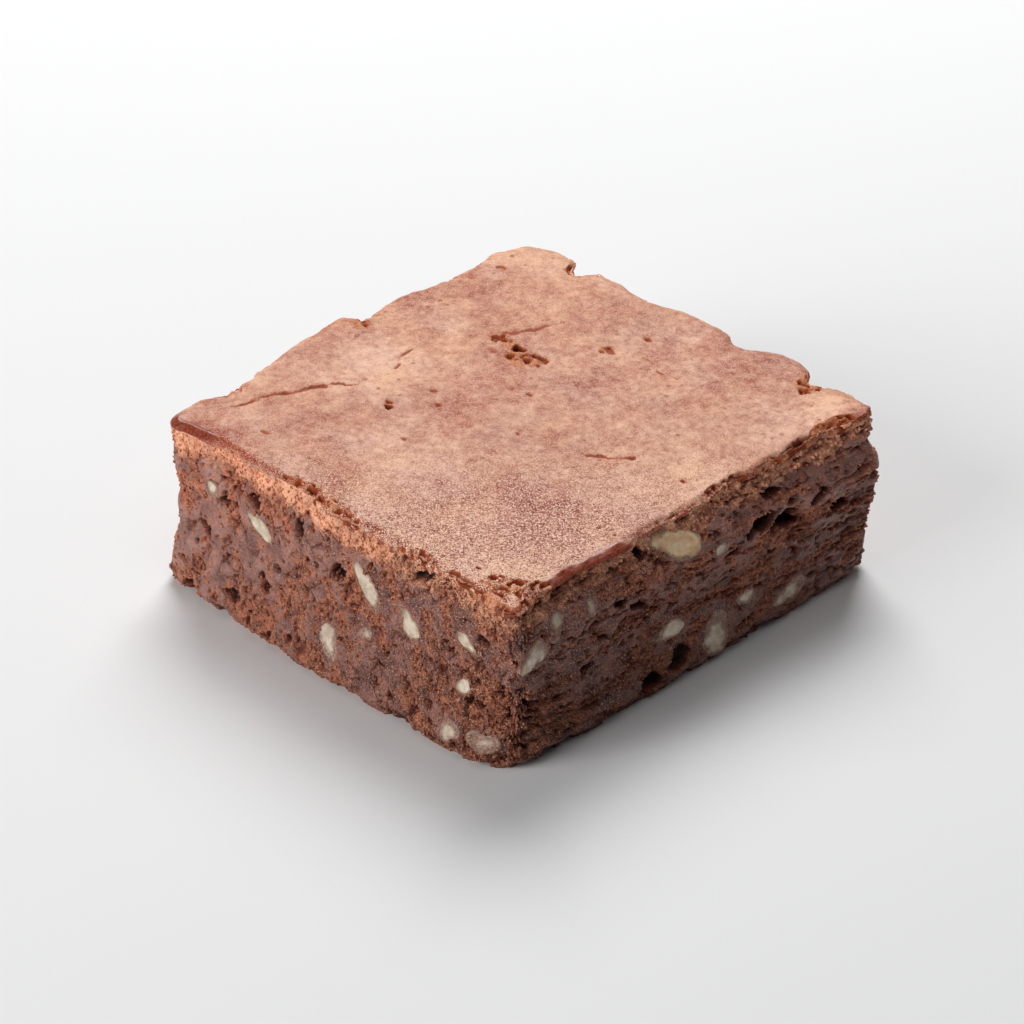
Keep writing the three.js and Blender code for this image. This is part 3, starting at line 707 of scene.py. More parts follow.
def crumb_material():
    """Torn crumb is rusty and matt, smeared crumb purple grey and a little glossy, and the airy band tan."""
    material, tree, shader, place = new_material("chocolate_crumb")
    smear, band, depth = value_of(tree, "smear"), value_of(tree, "band"), value_of(tree, "depth")
    grain_and_shade, foot = value_of(tree, "grain_and_shade"), value_of(tree, "foot")
    fine = placed(tree, baked_grain, {"Place": place, "Size": GRAIN_SIZE})
    wide = noise(tree, place, 320.0, 3.0)
    # Torn crumb runs from dark red to light orange by this value: partly the grains' own tone, partly painted
    # shade in the gaps and crevices.
    torn = mixed(tree, ranged(tree, grain_and_shade, 0.1, 0.7), paint(86, 34, 20), paint(200, 122, 88))
    torn = mixed(tree, ranged(tree, wide, 0.42, 0.64, 0.0, 0.4), torn, paint(138, 78, 58))
    smeared = mixed(tree, ranged(tree, wide, 0.38, 0.62), paint(162, 113, 101), paint(118, 78, 72))
    clots = noise(tree, place, 950.0, 2.0)
    clotted = reckoned(tree, "ADD", smear, ranged(tree, clots, 0.38, 0.62, -0.25, 0.35))
    specks = fine.outputs["Specks"]
    gritty = reckoned(tree, "ADD", clotted, between(tree, specks, -0.35, 0.1), clamp=True)
    colour = mixed(tree, gritty, torn, smeared)
    # The airy band likewise: painted shade in its gaps, lighter on its grains.
    airy = mixed(tree, ranged(tree, grain_and_shade, 0.1, 0.65), paint(162, 80, 56), paint(252, 184, 145))
    colour = mixed(tree, times(tree, band, 0.9), colour, airy)
    colour = mixed(tree, times(tree, foot, 0.45), colour, paint(162, 94, 60))
    crisp = value_of(tree, "specks")
    speckle_and_low_shade = between(tree, specks, between(tree, crisp, 0.84, 0.66), between(tree, crisp, 1.12, 1.28))
    # Painted shade: the crumb is lightened near the crust and darkened low down, most on the right and left
    # sides.
    speckle_and_low_shade = times(tree, speckle_and_low_shade, between(tree, value_of(tree, "painted_low_shade"), 1.18, 0.74))
    grey = add_node(tree, "CombineColor", {0: speckle_and_low_shade, 1: speckle_and_low_shade, 2: speckle_and_low_shade}).outputs[0]
    colour = mixed(tree, 1.0, colour, grey, "MULTIPLY")
    # Painted shade in the tiny pits of the baked grain.
    pitted = times(tree, fine.outputs["Pits"], between(tree, smear, 0.5, 0.35))
    colour = mixed(tree, pitted, colour, paint(84, 32, 20))
    strength = ranged(tree, wide, 0.35, 0.6, 0.3, 0.85)
    # Some granules are darkened to their own darker colour, and some lightened to painted glints.
    grit_and_glint_sockets = {
        "Colour": colour, "Glints": fine.outputs["Glints"], "Share": 0.14,
        "Strength": times(tree, strength, between(tree, crisp, 0.3, 1.25)),
        "Dark": paint(70, 22, 10), "Light": paint(238, 180, 144),
    }
    colour = placed(tree, grit_and_glints, grit_and_glint_sockets).outputs[0]
    # Painted shade: redder and darker in the hollows, by their depth.
    hollow = {"Colour": colour, "Depth": depth, "Glow": paint(112, 36, 14), "Deep": paint(38, 10, 5)}
    shaded = placed(tree, hollow_shade, hollow)
    tree.links.new(shaded.outputs["Colour"], shader.inputs["Base Color"])
    wet = ranged(tree, fine.outputs["Glints"], 0.7, 0.8)
    rough = reckoned(tree, "SUBTRACT", between(tree, smear, 0.72, 0.5), times(tree, wet, 0.4))
    tree.links.new(rough, shader.inputs["Roughness"])
    rough_grain(tree, shader, fine, between(tree, crisp, 0.45, 1.0), 0.00032)
    return material


chocolate_crumb = crumb_material()
for side_name in SIDES:
    side_points, side_groups, side_values = crumb_wedge(side_name)
    wedge = mesh_piece("crumb_" + side_name, side_points, side_groups, side_values, chocolate_crumb)
    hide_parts("brownie")

# The grains: loose bits of crumb that cling to the torn places of the cut sides and catch the light
GRAINS_ON_SIDE = 2300
SMALLEST_GRAIN, LARGEST_GRAIN = 0.11, 0.31


def grains_on(name, seed):
    """Centres, outward directions and values of grains on the torn places of a side, picked by chance."""
    random = np.random.default_rng(seed)
    tries = GRAINS_ON_SIDE * 5
    s, c = random.uniform(-0.99, 0.99, tries), random.uniform(-0.94, 0.9, tries)
    a, b, c = on_side(name, s, c)
    centres, values = crumb_surface(a, b, c)
    socket = hollows(form(a, b, c))[1]
    likely = np.maximum(1 - values["smear"], values["band"]) * (0.45 + 0.55 * values["band"])
    keep = np.flatnonzero((random.random(tries) < likely) & (values["depth"] < 0.75) & (socket < 0.05))
    keep = keep[:GRAINS_ON_SIDE]
    return centres[keep], outward(a, b)[keep], {k: v[keep] for k, v in values.items()}


def grains_piece(material):
    """All the grains: twenty-faced lumps, each stretched, dented and turned its own way, half sunk."""
    sets = [grains_on(name, 5 + n) for n, name in enumerate(SIDES)]
    centres, outs = (np.concatenate([part[n] for part in sets]) for n in (0, 1))
    values = {k: np.concatenate([part[2][k] for part in sets]) for k in sets[0][2]}
    count = len(centres)
    random = np.random.default_rng(8)
    g = (1 + 5**0.5) / 2
    lump = np.array([
        (-1, g, 0), (1, g, 0), (-1, -g, 0), (1, -g, 0), (0, -1, g), (0, 1, g),
        (0, -1, -g), (0, 1, -g), (g, 0, -1), (g, 0, 1), (-g, 0, -1), (-g, 0, 1),
    ]) / math.hypot(1, g)
    faces = np.array([
        (0, 11, 5), (0, 5, 1), (0, 1, 7), (0, 7, 10), (0, 10, 11), (1, 5, 9), (5, 11, 4), (11, 10, 2),
        (10, 7, 6), (7, 1, 8), (3, 9, 4), (3, 4, 2), (3, 2, 6), (3, 6, 8), (3, 8, 9), (4, 9, 5),
        (2, 4, 11), (6, 2, 10), (8, 6, 7), (9, 8, 1),
    ])
    radius = SMALLEST_GRAIN + (LARGEST_GRAIN - SMALLEST_GRAIN) * random.random(count) ** 2.2
    dents = random.uniform(0.72, 1.15, (count, len(lump), 1))
    stretch = random.uniform(0.7, 1.3, (count, 1, 3))
    turns = np.linalg.qr(random.normal(size=(count, 3, 3)))[0]
    turns[np.linalg.det(turns) < 0] *= -1
    points = np.einsum("nij,nkj->nki", turns, lump * dents * stretch * radius[:, None, None])
    points = points + (centres + outs * (radius * 0.25)[:, None])[:, None]
    held = {
        "smear": np.zeros(count), "band": values["band"], "depth": 0.35 * values["depth"],
        "grain_and_shade": random.uniform(0.25, 1.0, count), "foot": values["foot"], "specks": values["specks"],
        "painted_low_shade": values["painted_low_shade"],
    }
    held = {k: np.repeat(v, len(lump)) for k, v in held.items()}
    groups = [(faces[None] + len(lump) * np.arange(count)[:, None, None]).reshape(-1, 3)]
    return mesh_piece("grains", points.reshape(-1, 3), groups, held, material)


grains = grains_piece(chocolate_crumb)
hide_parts("brownie")

# The crust: the thin papery skin that dries and crackles on top as the tray bakes
# A dull pinkish tan sheet with fine specks and darker mottles, pitted and cracked, and chipped along its
# edges. Its rim rolls over the sides a little, where the skin shows red-brown and glossy.
CRUST_STEP = 0.225
# How much closer the crust's grid lies at its edges than in its middle
CROWDING = 0.35
# X, Y and squared reach of the corner's tip, where the edge doesn't drop
FAR_TIP = (33, 34, 20)
# Size, height and shift of the lumps that make the skin swell, tear, open in pores, draw in at its edge and
# turn down unevenly, and that lead the cracks astray along X and Y
SWELL = [(4.2, 0.10, 3), (1.7, 0.05, 0), (0.6, 0.018, 0)]
TORN_SKIN = [(0.8, 1.0, 5), (0.4, 0.6, 9)]
SKIN_PORES = [(0.8, 1.0, 83), (0.4, 0.6, 41)]
WAVY_EDGE = [(2.6, 0.3, 2), (0.9, 0.1, 5)]
WAVY_RIM = [(2.6, 0.4, 0), (0.9, 0.2, 0)]
STRAY_X = [(1.6, 0.4, 9), (0.6, 0.22, 0)]
STRAY_Y = [(1.6, 0.4, 29), (0.6, 0.22, 5)]
CRACK_DEPTH, CRACK_WIDTH = 0.7, 0.33
# How far the rim turns down over the sides, its rows of points, and how deep the cone beneath reaches
RIM_LENGTH, RIM_ROWS, CONE_DEPTH = 1.1, 10, 9.0
# Inset and drop of each row that runs in beneath the rim, and size of the cells that hold one tiny pit each
RIM_TUCK, TINY_PIT_CELL = ((1.0, 0.3), (3.0, 1.2)), 3.6
# X, Y, half sizes along X and Y, and depth; the first four are one broken blister
CRUST_PITS = [
    (-13.0, 12.4, 1.05, 0.8, 3.6), (-16.6, 12.8, 1.4, 0.55, 0.6), (-9.4, 12.9, 1.3, 0.5, 0.6),
    (-15.4, 10.0, 0.9, 0.4, 0.12), (-4.5, 21.0, 1.0, 0.5, 0.3), (-14.7, -10.0, 0.7, 0.45, 0.8),
    (27.0, -27.6, 1.2, 0.6, 0.8), (-2.7, 26.8, 0.6, 0.4, 0.4), (-7.5, -14.2, 0.5, 0.3, 0.3),
    (-13.5, -3.0, 0.6, 0.3, 0.3), (-10.5, -5.0, 0.5, 0.35, 0.4), (2.3, -3.0, 0.4, 0.3, 0.3),
    (-3.8, 5.2, 0.5, 0.3, 0.3), (-6.5, 4.7, 0.4, 0.3, 0.3), (-30.0, 26.3, 0.9, 0.5, 0.3),
    (20.8, -28.5, 0.45, 0.3, 0.4), (25.0, 4.2, 0.4, 0.35, 0.4), (-21.4, -26.0, 0.9, 0.4, 0.2),
    (25.0, -11.0, 0.25, 0.25, 0.3), (27.5, -11.0, 0.25, 0.25, 0.3), (-15.6, -9.2, 0.5, 0.35, 0.5),
]
# Strength and the places that each crack runs through
CRACKS = [
    (1.4, [(-30.6, -27.0), (-28.2, -20.4), (-25.4, -15.6), (-24.2, -11.4), (-21.2, -8.6)]),
    (1.0, [(-23.4, 2.8), (-22.8, -0.6), (-20.8, -3.4)]),
    (1.1, [(-13.3, 22.8), (-14.7, 18.5), (-16.4, 14.8), (-21.0, 11.4), (-21.9, 8.2)]),
    (1.2, [(-19.2, 12.4), (-16.4, 12.9), (-14.2, 12.5)]),
    (1.2, [(-11.0, 12.2), (-8.2, 13.7)]),
    (0.7, [(-16.4, 9.3), (-14.2, 10.4)]),
    (0.85, [(-0.6, 23.4), (2.6, 22.6), (5.2, 21.3), (7.6, 22.6)]),
    (1.4, [(11.5, 0.1), (14.5, 1.95)]),
    (2.3, [(14.3, 1.4), (16.9, 3.6)]),
]
# X, Y, reach and how surely the skin is broken there; and where it is paler, darker, or red-brown and glossy
BROKEN = [
    (-8, -33, 4.5, 0.75), (0, -33, 4.0, 0.8), (6, -33, 3.0, 0.35), (13.5, -33, 3.0, 0.6),
    (22, -33, 4.0, 0.45), (29, -32, 4.0, 0.55), (29.5, 26, 2.6, 0.6), (-33, -22, 3.0, 0.5),
    (-33, 2, 2.0, 0.6), (20, 33, 3.5, 0.5),
    (-21, 33, 3.0, 0.5), (-11.5, 10.4, 2.2, 1.0), (-9.0, 12.3, 2.0, 0.9), (-16.8, 12.6, 1.8, 0.9),
    (-14.2, 12.6, 1.3, 0.6), (-4.5, 21, 1.4, 0.8), (26.8, -28.4, 1.7, 1.3), (24.2, -28.8, 1.2, 0.9),
    (29.2, -27.4, 1.5, 1.1), (30.3, 29.2, 1.6, 0.9), (-30, 26.3, 1.6, 0.55), (-3, 27, 1.0, 0.6),
    (33, -3, 3.5, 0.55), (33, 9, 5.5, 0.6), (33, 17, 4.0, 0.5), (31, 21, 2.6, 0.5),
    (22, 31.6, 1.8, 0.4), (18.7, 29.1, 0.9, 0.6), (2.5, 31.6, 0.9, 0.6),
]
TONES = [
    (-23, -4, 7, 0.45), (-8, -18, 6, 0.25), (-12, -12, 4, 0.1), (26, -29, 6, 0.4), (-29, 30, 6, 0.25),
    (18, -14, 7, -0.42), (-13, -23, 5, -0.3), (-26, -20, 5, 0.12), (-24, -29, 5, -0.22), (-5, -29, 4, -0.2),
    (4, -7, 6, -0.2), (-12, -6, 5, -0.2), (30, 4, 9, 0.3), (14, 6, 7, 0.1), (-4, 21, 5, 0.3),
    (-11, 26, 6, -0.25), (13, 29, 6, -0.28), (-29, 20, 5, -0.2), (0, 15, 9, -0.15), (25.5, 31, 2.6, 0.5),
    (1.2, 30.6, 1.3, 0.4), (33.5, 33.5, 3.0, -0.6), (-29.0, -31.0, 2.6, -0.45), (-25.0, -31.0, 2.2, -0.3),
]
GLOSSY = [
    (-32, -33, 5.0, 0.7), (-27, -33, 4.0, 0.5), (33, -22, 6.0, 0.9), (33, -13, 5.0, 0.9), (35, 34, 2.8, 1.2),
    (-8, -33.5, 3.0, 0.5), (3, -33.5, 2.5, 0.5), (-33, 2, 2.5, 0.7), (29, -34, 4.0, 1.0),
]
# Where the glossy lip is pale peach instead of red-brown
PALE_LIP = [(27.5, -33.5, 5.0, 0.9)]


def crack_depth(x, y):
    """Depth of the cracks: a narrow bell curve of the distance to each line, by its strength.

    It narrows and fades at the line's two ends, and lumps make it wander and break off.
    """
    plan = np.stack([x, y, 0 * x], -1)
    x, y = x + ripples(plan, STRAY_X), y + ripples(plan, STRAY_Y)
    depth = np.zeros_like(x)
    for strength, line in CRACKS:
        for n, ((x0, y0), (x1, y1)) in enumerate(zip(line, line[1:])):
            dx, dy = x1 - x0, y1 - y0
            t = np.clip(((x - x0) * dx + (y - y0) * dy) / (dx * dx + dy * dy), 0, 1)
            away = np.hypot(x - x0 - t * dx, y - y0 - t * dy)
            along = (n + t) / (len(line) - 1)
            taper = np.sqrt(np.clip(1 - (2 * along - 1) ** 4, 0.05, 1))
            groove = np.exp(-((away / (CRACK_WIDTH * taper)) ** 2))
            depth = np.maximum(depth, CRACK_DEPTH * strength * taper * groove)
    return depth * np.clip(0.75 + 0.7 * lumps(plan / 1.5 + 3), 0.3, 1)


def summed(x, y, places):
    """The sum of bell curves at places on the crust, each with its reach and strength."""
    return sum(strength * bell(x, y, at_x, at_y, reach**2) for at_x, at_y, reach, strength in places)


def pit_depth(plan, ragged):
    """Depth of the pits: half balls squeezed to their sizes, with ragged outlines, and tiny bubbles."""
    pits = np.zeros(plan.shape[:-1])
    for at_x, at_y, reach_x, reach_y, depth in CRUST_PITS:
        r2 = ((plan[..., 0] - at_x) / reach_x) ** 2 + ((plan[..., 1] - at_y) / reach_y) ** 2
        pits = np.maximum(pits, depth * np.sqrt(np.clip(1 - r2 * np.clip(1.1 + 0.8 * ragged, 0.5, 4), 0, 1)))
    tiny = openings(shifted(plan, 0.7, 0.3, 4) / TINY_PIT_CELL + 0.3, -0.05, 0.075) * TINY_PIT_CELL
    return np.maximum(pits, 0.25 * smooth(tiny, 0, 0.2))


def edge_pull(plan, a, edge, bare, gloss):
    """How far the crust is pulled in at its edge, fading inwards by a smooth step.

    Lumps make the edge wavy and nick it, the right edge is chipped as well, and broken skin draws back more.
    """
    wavy = ripples(plan, WAVY_EDGE) + 0.8 * np.clip(lumps(plan / 3.3 + 61) - 0.4, 0, 1)
    chips = 0.6 * np.clip(lumps(plan / 1.2 + 71), 0, 1) * smooth(a, 0.9, 1) * (1 - gloss)
    return np.clip(wavy + chips + 0.35 * bare, -0.25, 0.9) * (1 - smooth(edge, 0, 2.6))


def rust_lines(plan, a, b):
    """How rusty the skin is along its right and front edges: a bell curve across each, broken up by lumps."""
    right = np.exp(-(((1 - a) * HALF_WIDTH / 0.9) ** 2))
    front = np.exp(-((((1 + b) * HALF_DEPTH - 0.7) / 0.5) ** 2))
    return np.maximum(
        right * np.clip(0.55 + 0.9 * lumps(plan / 1.6 + 15), 0, 1),
        front * np.clip(0.65 + 0.9 * lumps(plan / 2.2 + 25), 0, 1),
    )


def crust_surface(a, b):
    """Places on the crust with its relief, how far its edge is pulled in, and the values its material reads.

    The skin swells, drops at its edge, and is pitted and cracked. Where it is broken it lies lower and shows
    round crumbs. Along glossy parts of the edge stands a low ridge.
    """
    p = form(a, b, np.ones_like(a))
    x, y = p[..., 0], p[..., 1]
    plan = np.stack([x, y, 0 * x], -1)
    edge = np.minimum((1 - abs(a)) * HALF_WIDTH, (1 - abs(b)) * HALF_DEPTH)
    ragged = ripples(plan, TORN_SKIN)
    pits, cracks = pit_depth(plan, ragged), crack_depth(x, y)
    chance = summed(x, y, BROKEN) + 0.45 * layered(plan / 2.4 + 47, 4) + 0.1 * ragged
    bare = smooth(chance - 0.12 * np.minimum(edge, 3), 0.16, 0.4)
    sunk = 0.1 + 0.35 * (1 - smooth(edge, 0.4, 2.4))
    crumbly = 0.35 * domes(plan / 0.7 + 3)
    at_edge = 1 - smooth(edge, 0.5, 3)
    pores = ripples(plan, SKIN_PORES) + 0.3 * at_edge
    pits = np.maximum(pits, 0.55 * bare * smooth(pores, 0.3, 0.75))
    far_tip = bell(x, y, *FAR_TIP)
    drop = EDGE_DROP * (1 - smooth(edge, 0, 1.8)) ** 2 * (1 - far_tip)
    gloss = summed(x, y, GLOSSY) + 0.22 * layered(plan / 1.8 + 8, 3)
    gloss = smooth(gloss, 0.3, 0.7) * (1 - smooth(edge, 0.5, 1.9))
    pull = edge_pull(plan, a, edge, bare, gloss)
    ridge = 0.3 * gloss * np.exp(-(((edge - 0.7) / 0.6) ** 2))
    broken = bare * (1 - gloss) * (sunk - (1.1 + 0.9 * at_edge) * crumbly)
    p[..., 2] += ripples(plan, SWELL) - drop - pits - 0.3 * cracks + ridge - broken
    p -= outward(a, b) * pull[..., None]
    pale = 0.52 + 0.08 * smooth(x - y, 0, 40) + 0.29 * layered(plan / 6.5 + 2, 5)
    pale = pale + 0.24 * layered(plan / 2 + 31, 3) + summed(x, y, TONES)
    values = {
        # How deep the pits and cracks are: the material makes them rusty, then paints shade into them, by it.
        "depth": np.clip((pits + np.maximum(cracks - 0.24, 0)) / 1.9, 0, 1),
        "bare": bare,
        # Partly the crumbs' own tone, partly painted shade: low between the round crumbs of broken skin, high
        # on their tops.
        "grain_and_shade": np.clip(2.4 * crumbly + 0.1, 0, 1),
        "pale": np.clip(pale, 0, 1),
        "specks": smooth(x - y, 2, 44) * (1 - 0.65 * smooth(x, 25, 30) * smooth(y, -24, -10)),
        "gloss": gloss,
        "stain": np.clip(1 - summed(x, y, PALE_LIP), 0, 1),
        "rust": rust_lines(plan, a, b),
        "warm": np.clip(0.5 + 0.8 * layered(plan / 5 + 33, 3) + 0.25 * smooth(y - x, -10, 50), 0, 1),
    }
    return p, values, pull


def crust_piece(material):
    """The crust: a fine grid, a rim that turns down over the sides and in again, and a cone beneath.

    The rim's rows stand out by half a sine wave, and draw in by the square of the way down. Past its lip the
    rim is rough with grains.
    """
    count = int(2 * HALF_DEPTH / CRUST_STEP)
    even = np.linspace(-1, 1, count)
    line = (1 - CROWDING) * even + CROWDING * np.sin(np.pi / 2 * even)
    a, b = np.meshgrid(line, line)
    top, values, pull = crust_surface(a, b)
    index = np.arange(count * count).reshape(count, count)
    ring = np.concatenate([index[0, :-1], index[:-1, -1], index[-1, :0:-1], index[:0:-1, 0]])
    rim_a, rim_b, pull = a.ravel()[ring], b.ravel()[ring], pull.ravel()[ring]
    out, rim, gloss = outward(rim_a, rim_b), top.reshape(-1, 3)[ring], values["gloss"].ravel()[ring]
    length = RIM_LENGTH + ripples(rim, WAVY_RIM) - 0.25 * gloss
    lip = 0.15 + smooth(-out[:, 1], 0.3, 0.8) * (0.3 + 0.3 * smooth(-rim[:, 0], 4, 10))
    rows, grain_and_shade, bare = [], [], []
    for t in np.linspace(0, 1, RIM_ROWS)[1:]:
        drop = EDGE_DROP + (length - 0.1) * t
        turned = form(rim_a, rim_b, 1 - 2 * drop / HEIGHT)
        crumbly = domes(turned / 0.62 + 3)
        rough = smooth(t + 0.35 * lumps(turned / 1.1 + 2) - 0.6 * gloss, lip, lip + 0.3)
        shift = -pull * (1 - t) + (0.1 + 0.3 * gloss) * np.sin(np.pi * t) - 0.7 * t**2
        shift = shift + rough * (0.34 * crumbly - 0.16)
        rows.append(turned + out * shift[:, None])
        grain_and_shade.append(np.clip(crumbly, 0, 1))
        bare.append(np.maximum(rough, values["bare"].ravel()[ring]))
    rows += [rows[-1] - out * inset - (0, 0, drop) for inset, drop in RIM_TUCK]
    rows = np.stack(rows)
    size, start = len(ring), count * count
    loops = [ring] + [start + n * size + np.arange(size) for n in range(len(rows))]
    groups = [grid_quads(count, count)[:, ::-1]]
    for upper, lower in zip(loops, loops[1:]):
        groups.append(np.stack([upper, np.roll(upper, -1), np.roll(lower, -1), lower], -1)[:, ::-1])
    middle = start + rows.shape[0] * size
    groups.append(np.stack([loops[-1], np.roll(loops[-1], -1), np.full(size, middle)], -1)[:, ::-1])
    points = np.concatenate([top.reshape(-1, 3), rows.reshape(-1, 3), [[0, 0, HEIGHT - CONE_DEPTH]]])
    for key, value in values.items():
        values[key] = np.concatenate([value.ravel(), np.tile(value.ravel()[ring], len(rows)), [0]])
    values["grain_and_shade"][start:start + size * len(grain_and_shade)] = np.concatenate(grain_and_shade)
    values["bare"][start:start + size * len(bare)] = np.concatenate(bare)
    values["rim"] = np.concatenate([np.zeros(start), np.repeat(np.linspace(0.4, 1, len(rows)), size), [1]])
    return mesh_piece("crust", points, groups, values, material)


def brown_dots(tree, place):
    """How brown a small dot is: cells round random points, each dot of its own size, denser in clusters."""
    clustered = noise(tree, place, 110.0, 1.0)
    distance, own = random_cells(tree, place, 640.0)
    reach = ranged(tree, own, 0.3, 1.0, 0.0, 0.24)
    dot = ranged(tree, reckoned(tree, "SUBTRACT", distance, reach), 0.06, -0.04)
    return times(tree, dot, ranged(tree, clustered, 0.42, 0.62, 0.1, 0.85))


def crust_material():
    """Dry skin: pale peach mottled with purple brown, and finely specked.

    Its turned-down rim is tan, and red-brown or pale peach and glossy in places. Broken skin shows rusty
    crumb.
    """
    material, tree, shader, place = new_material("papery_crust")
    depth, bare, pale = value_of(tree, "depth"), value_of(tree, "bare"), value_of(tree, "pale")
    warm, gloss, rim = value_of(tree, "warm"), value_of(tree, "gloss"), value_of(tree, "rim")
    fine = placed(tree, baked_grain, {"Place": place, "Size": GRAIN_SIZE})
    strength = between(tree, value_of(tree, "specks"), 0.3, 1.2)
    mottle = ranged(tree, noise(tree, place, 900.0, 2.0, 0.6), 0.3, 0.7, -0.26, 0.26)
    tone = reckoned(tree, "ADD", pale, mottle, clamp=True)
    light = mixed(tree, warm, paint(236, 188, 163), paint(236, 183, 147))
    dark = mixed(tree, warm, paint(152, 70, 50), paint(162, 74, 42))
    colour = mixed(tree, tone, dark, light)
    turned = mixed(tree, fine.outputs["Specks"], paint(212, 124, 92), paint(250, 180, 142))
    colour = mixed(tree, times(tree, rim, 0.8), colour, turned)
    colour = mixed(tree, brown_dots(tree, place), colour, paint(158, 80, 52))
    # Broken skin runs from dark in the gaps between its crumbs to light on their tops: partly their own tone,
    # partly painted shade.
    crumbly = mixed(tree, value_of(tree, "grain_and_shade"), paint(148, 70, 44), paint(244, 168, 124))
    sunk = mixed(tree, value_of(tree, "grain_and_shade"), paint(140, 62, 28), paint(224, 144, 90))
    crumbly = mixed(tree, ranged(tree, rim, 0.0, 0.4), sunk, crumbly)
    colour = mixed(tree, bare, colour, crumbly)
    rusted = times(tree, value_of(tree, "rust"), ranged(tree, rim, 0.45, 0.8, 1.0, 0.0))
    colour = mixed(tree, rusted, colour, paint(156, 66, 36))
    brown_skin = mixed(tree, fine.outputs["Specks"], paint(104, 36, 24), paint(166, 80, 56))
    peach_skin = mixed(tree, fine.outputs["Specks"], paint(244, 150, 104), paint(255, 196, 152))
    glossy = mixed(tree, value_of(tree, "stain"), peach_skin, brown_skin)
    shine = times(tree, gloss, between(tree, bare, 1.0, 0.4), clamp=True)
    colour = mixed(tree, shine, colour, glossy)
    # Painted shade in the tiny pits of the baked grain, stronger where the specks are crisp.
    pit_shade = times(tree, fine.outputs["Pits"], ranged(tree, strength, 0.3, 1.2, 0.15, 0.5))
    colour = mixed(tree, pit_shade, colour, paint(128, 66, 52))
    patchy = times(tree, strength, ranged(tree, tone, 0.2, 0.8, 1.2, 0.8))
    # Some granules are darkened to their own darker colour, and some lightened to painted glints.
    grit_and_glint_sockets = {
        "Colour": colour, "Glints": fine.outputs["Glints"],
        "Strength": times(tree, patchy, ranged(tree, shine, 0.0, 0.8, 1.0, 0.0)),
        "Dark": paint(114, 36, 24), "Light": paint(255, 216, 194),
    }
    colour = placed(tree, grit_and_glints, grit_and_glint_sockets).outputs[0]
    rusty = mixed(tree, ranged(tree, depth, 0.0, 0.09), colour, paint(174, 82, 38))
    # Painted shade: redder and darker in the pits and cracks, by their depth.
    hollow = {"Colour": rusty, "Depth": depth, "Glow": paint(132, 52, 26), "Deep": paint(56, 16, 9)}
    shaded = placed(tree, hollow_shade, hollow)
    tree.links.new(shaded.outputs["Colour"], shader.inputs["Base Color"])
    tree.links.new(between(tree, shine, 0.55, 0.35), shader.inputs["Roughness"])
    shader.inputs["Specular IOR Level"].default_value = 0.16
    tree.links.new(times(tree, shine, 0.5), shader.inputs["Coat Weight"])
    shader.inputs["Coat Roughness"].default_value = 0.22
    rise = ranged(tree, reckoned(tree, "SUBTRACT", strength, shine), 0.0, 1.9, 0.22, 1.0)
    rough_grain(tree, shader, fine, rise, 0.00013)
    return material


crust = crust_piece(crust_material())
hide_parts("brownie")

# The walnuts: chopped pieces baked in the crumb, which the knife cut flush with the sides
# Ivory nut flesh with faint fibres, brown skin left on parts of its edge, and crumb smeared over some of it.
# How far the cut faces lie below the crumb, and how far a nut reaches past its socket, in under the crumb
FACE_DROP, NUT_MARGIN = 0.04, 0.2
# Rows of points on a cut face and on the sunk half, and columns round both
FACE_ROWS, SUNK_ROWS, NUT_COLUMNS = 19, 9, 64


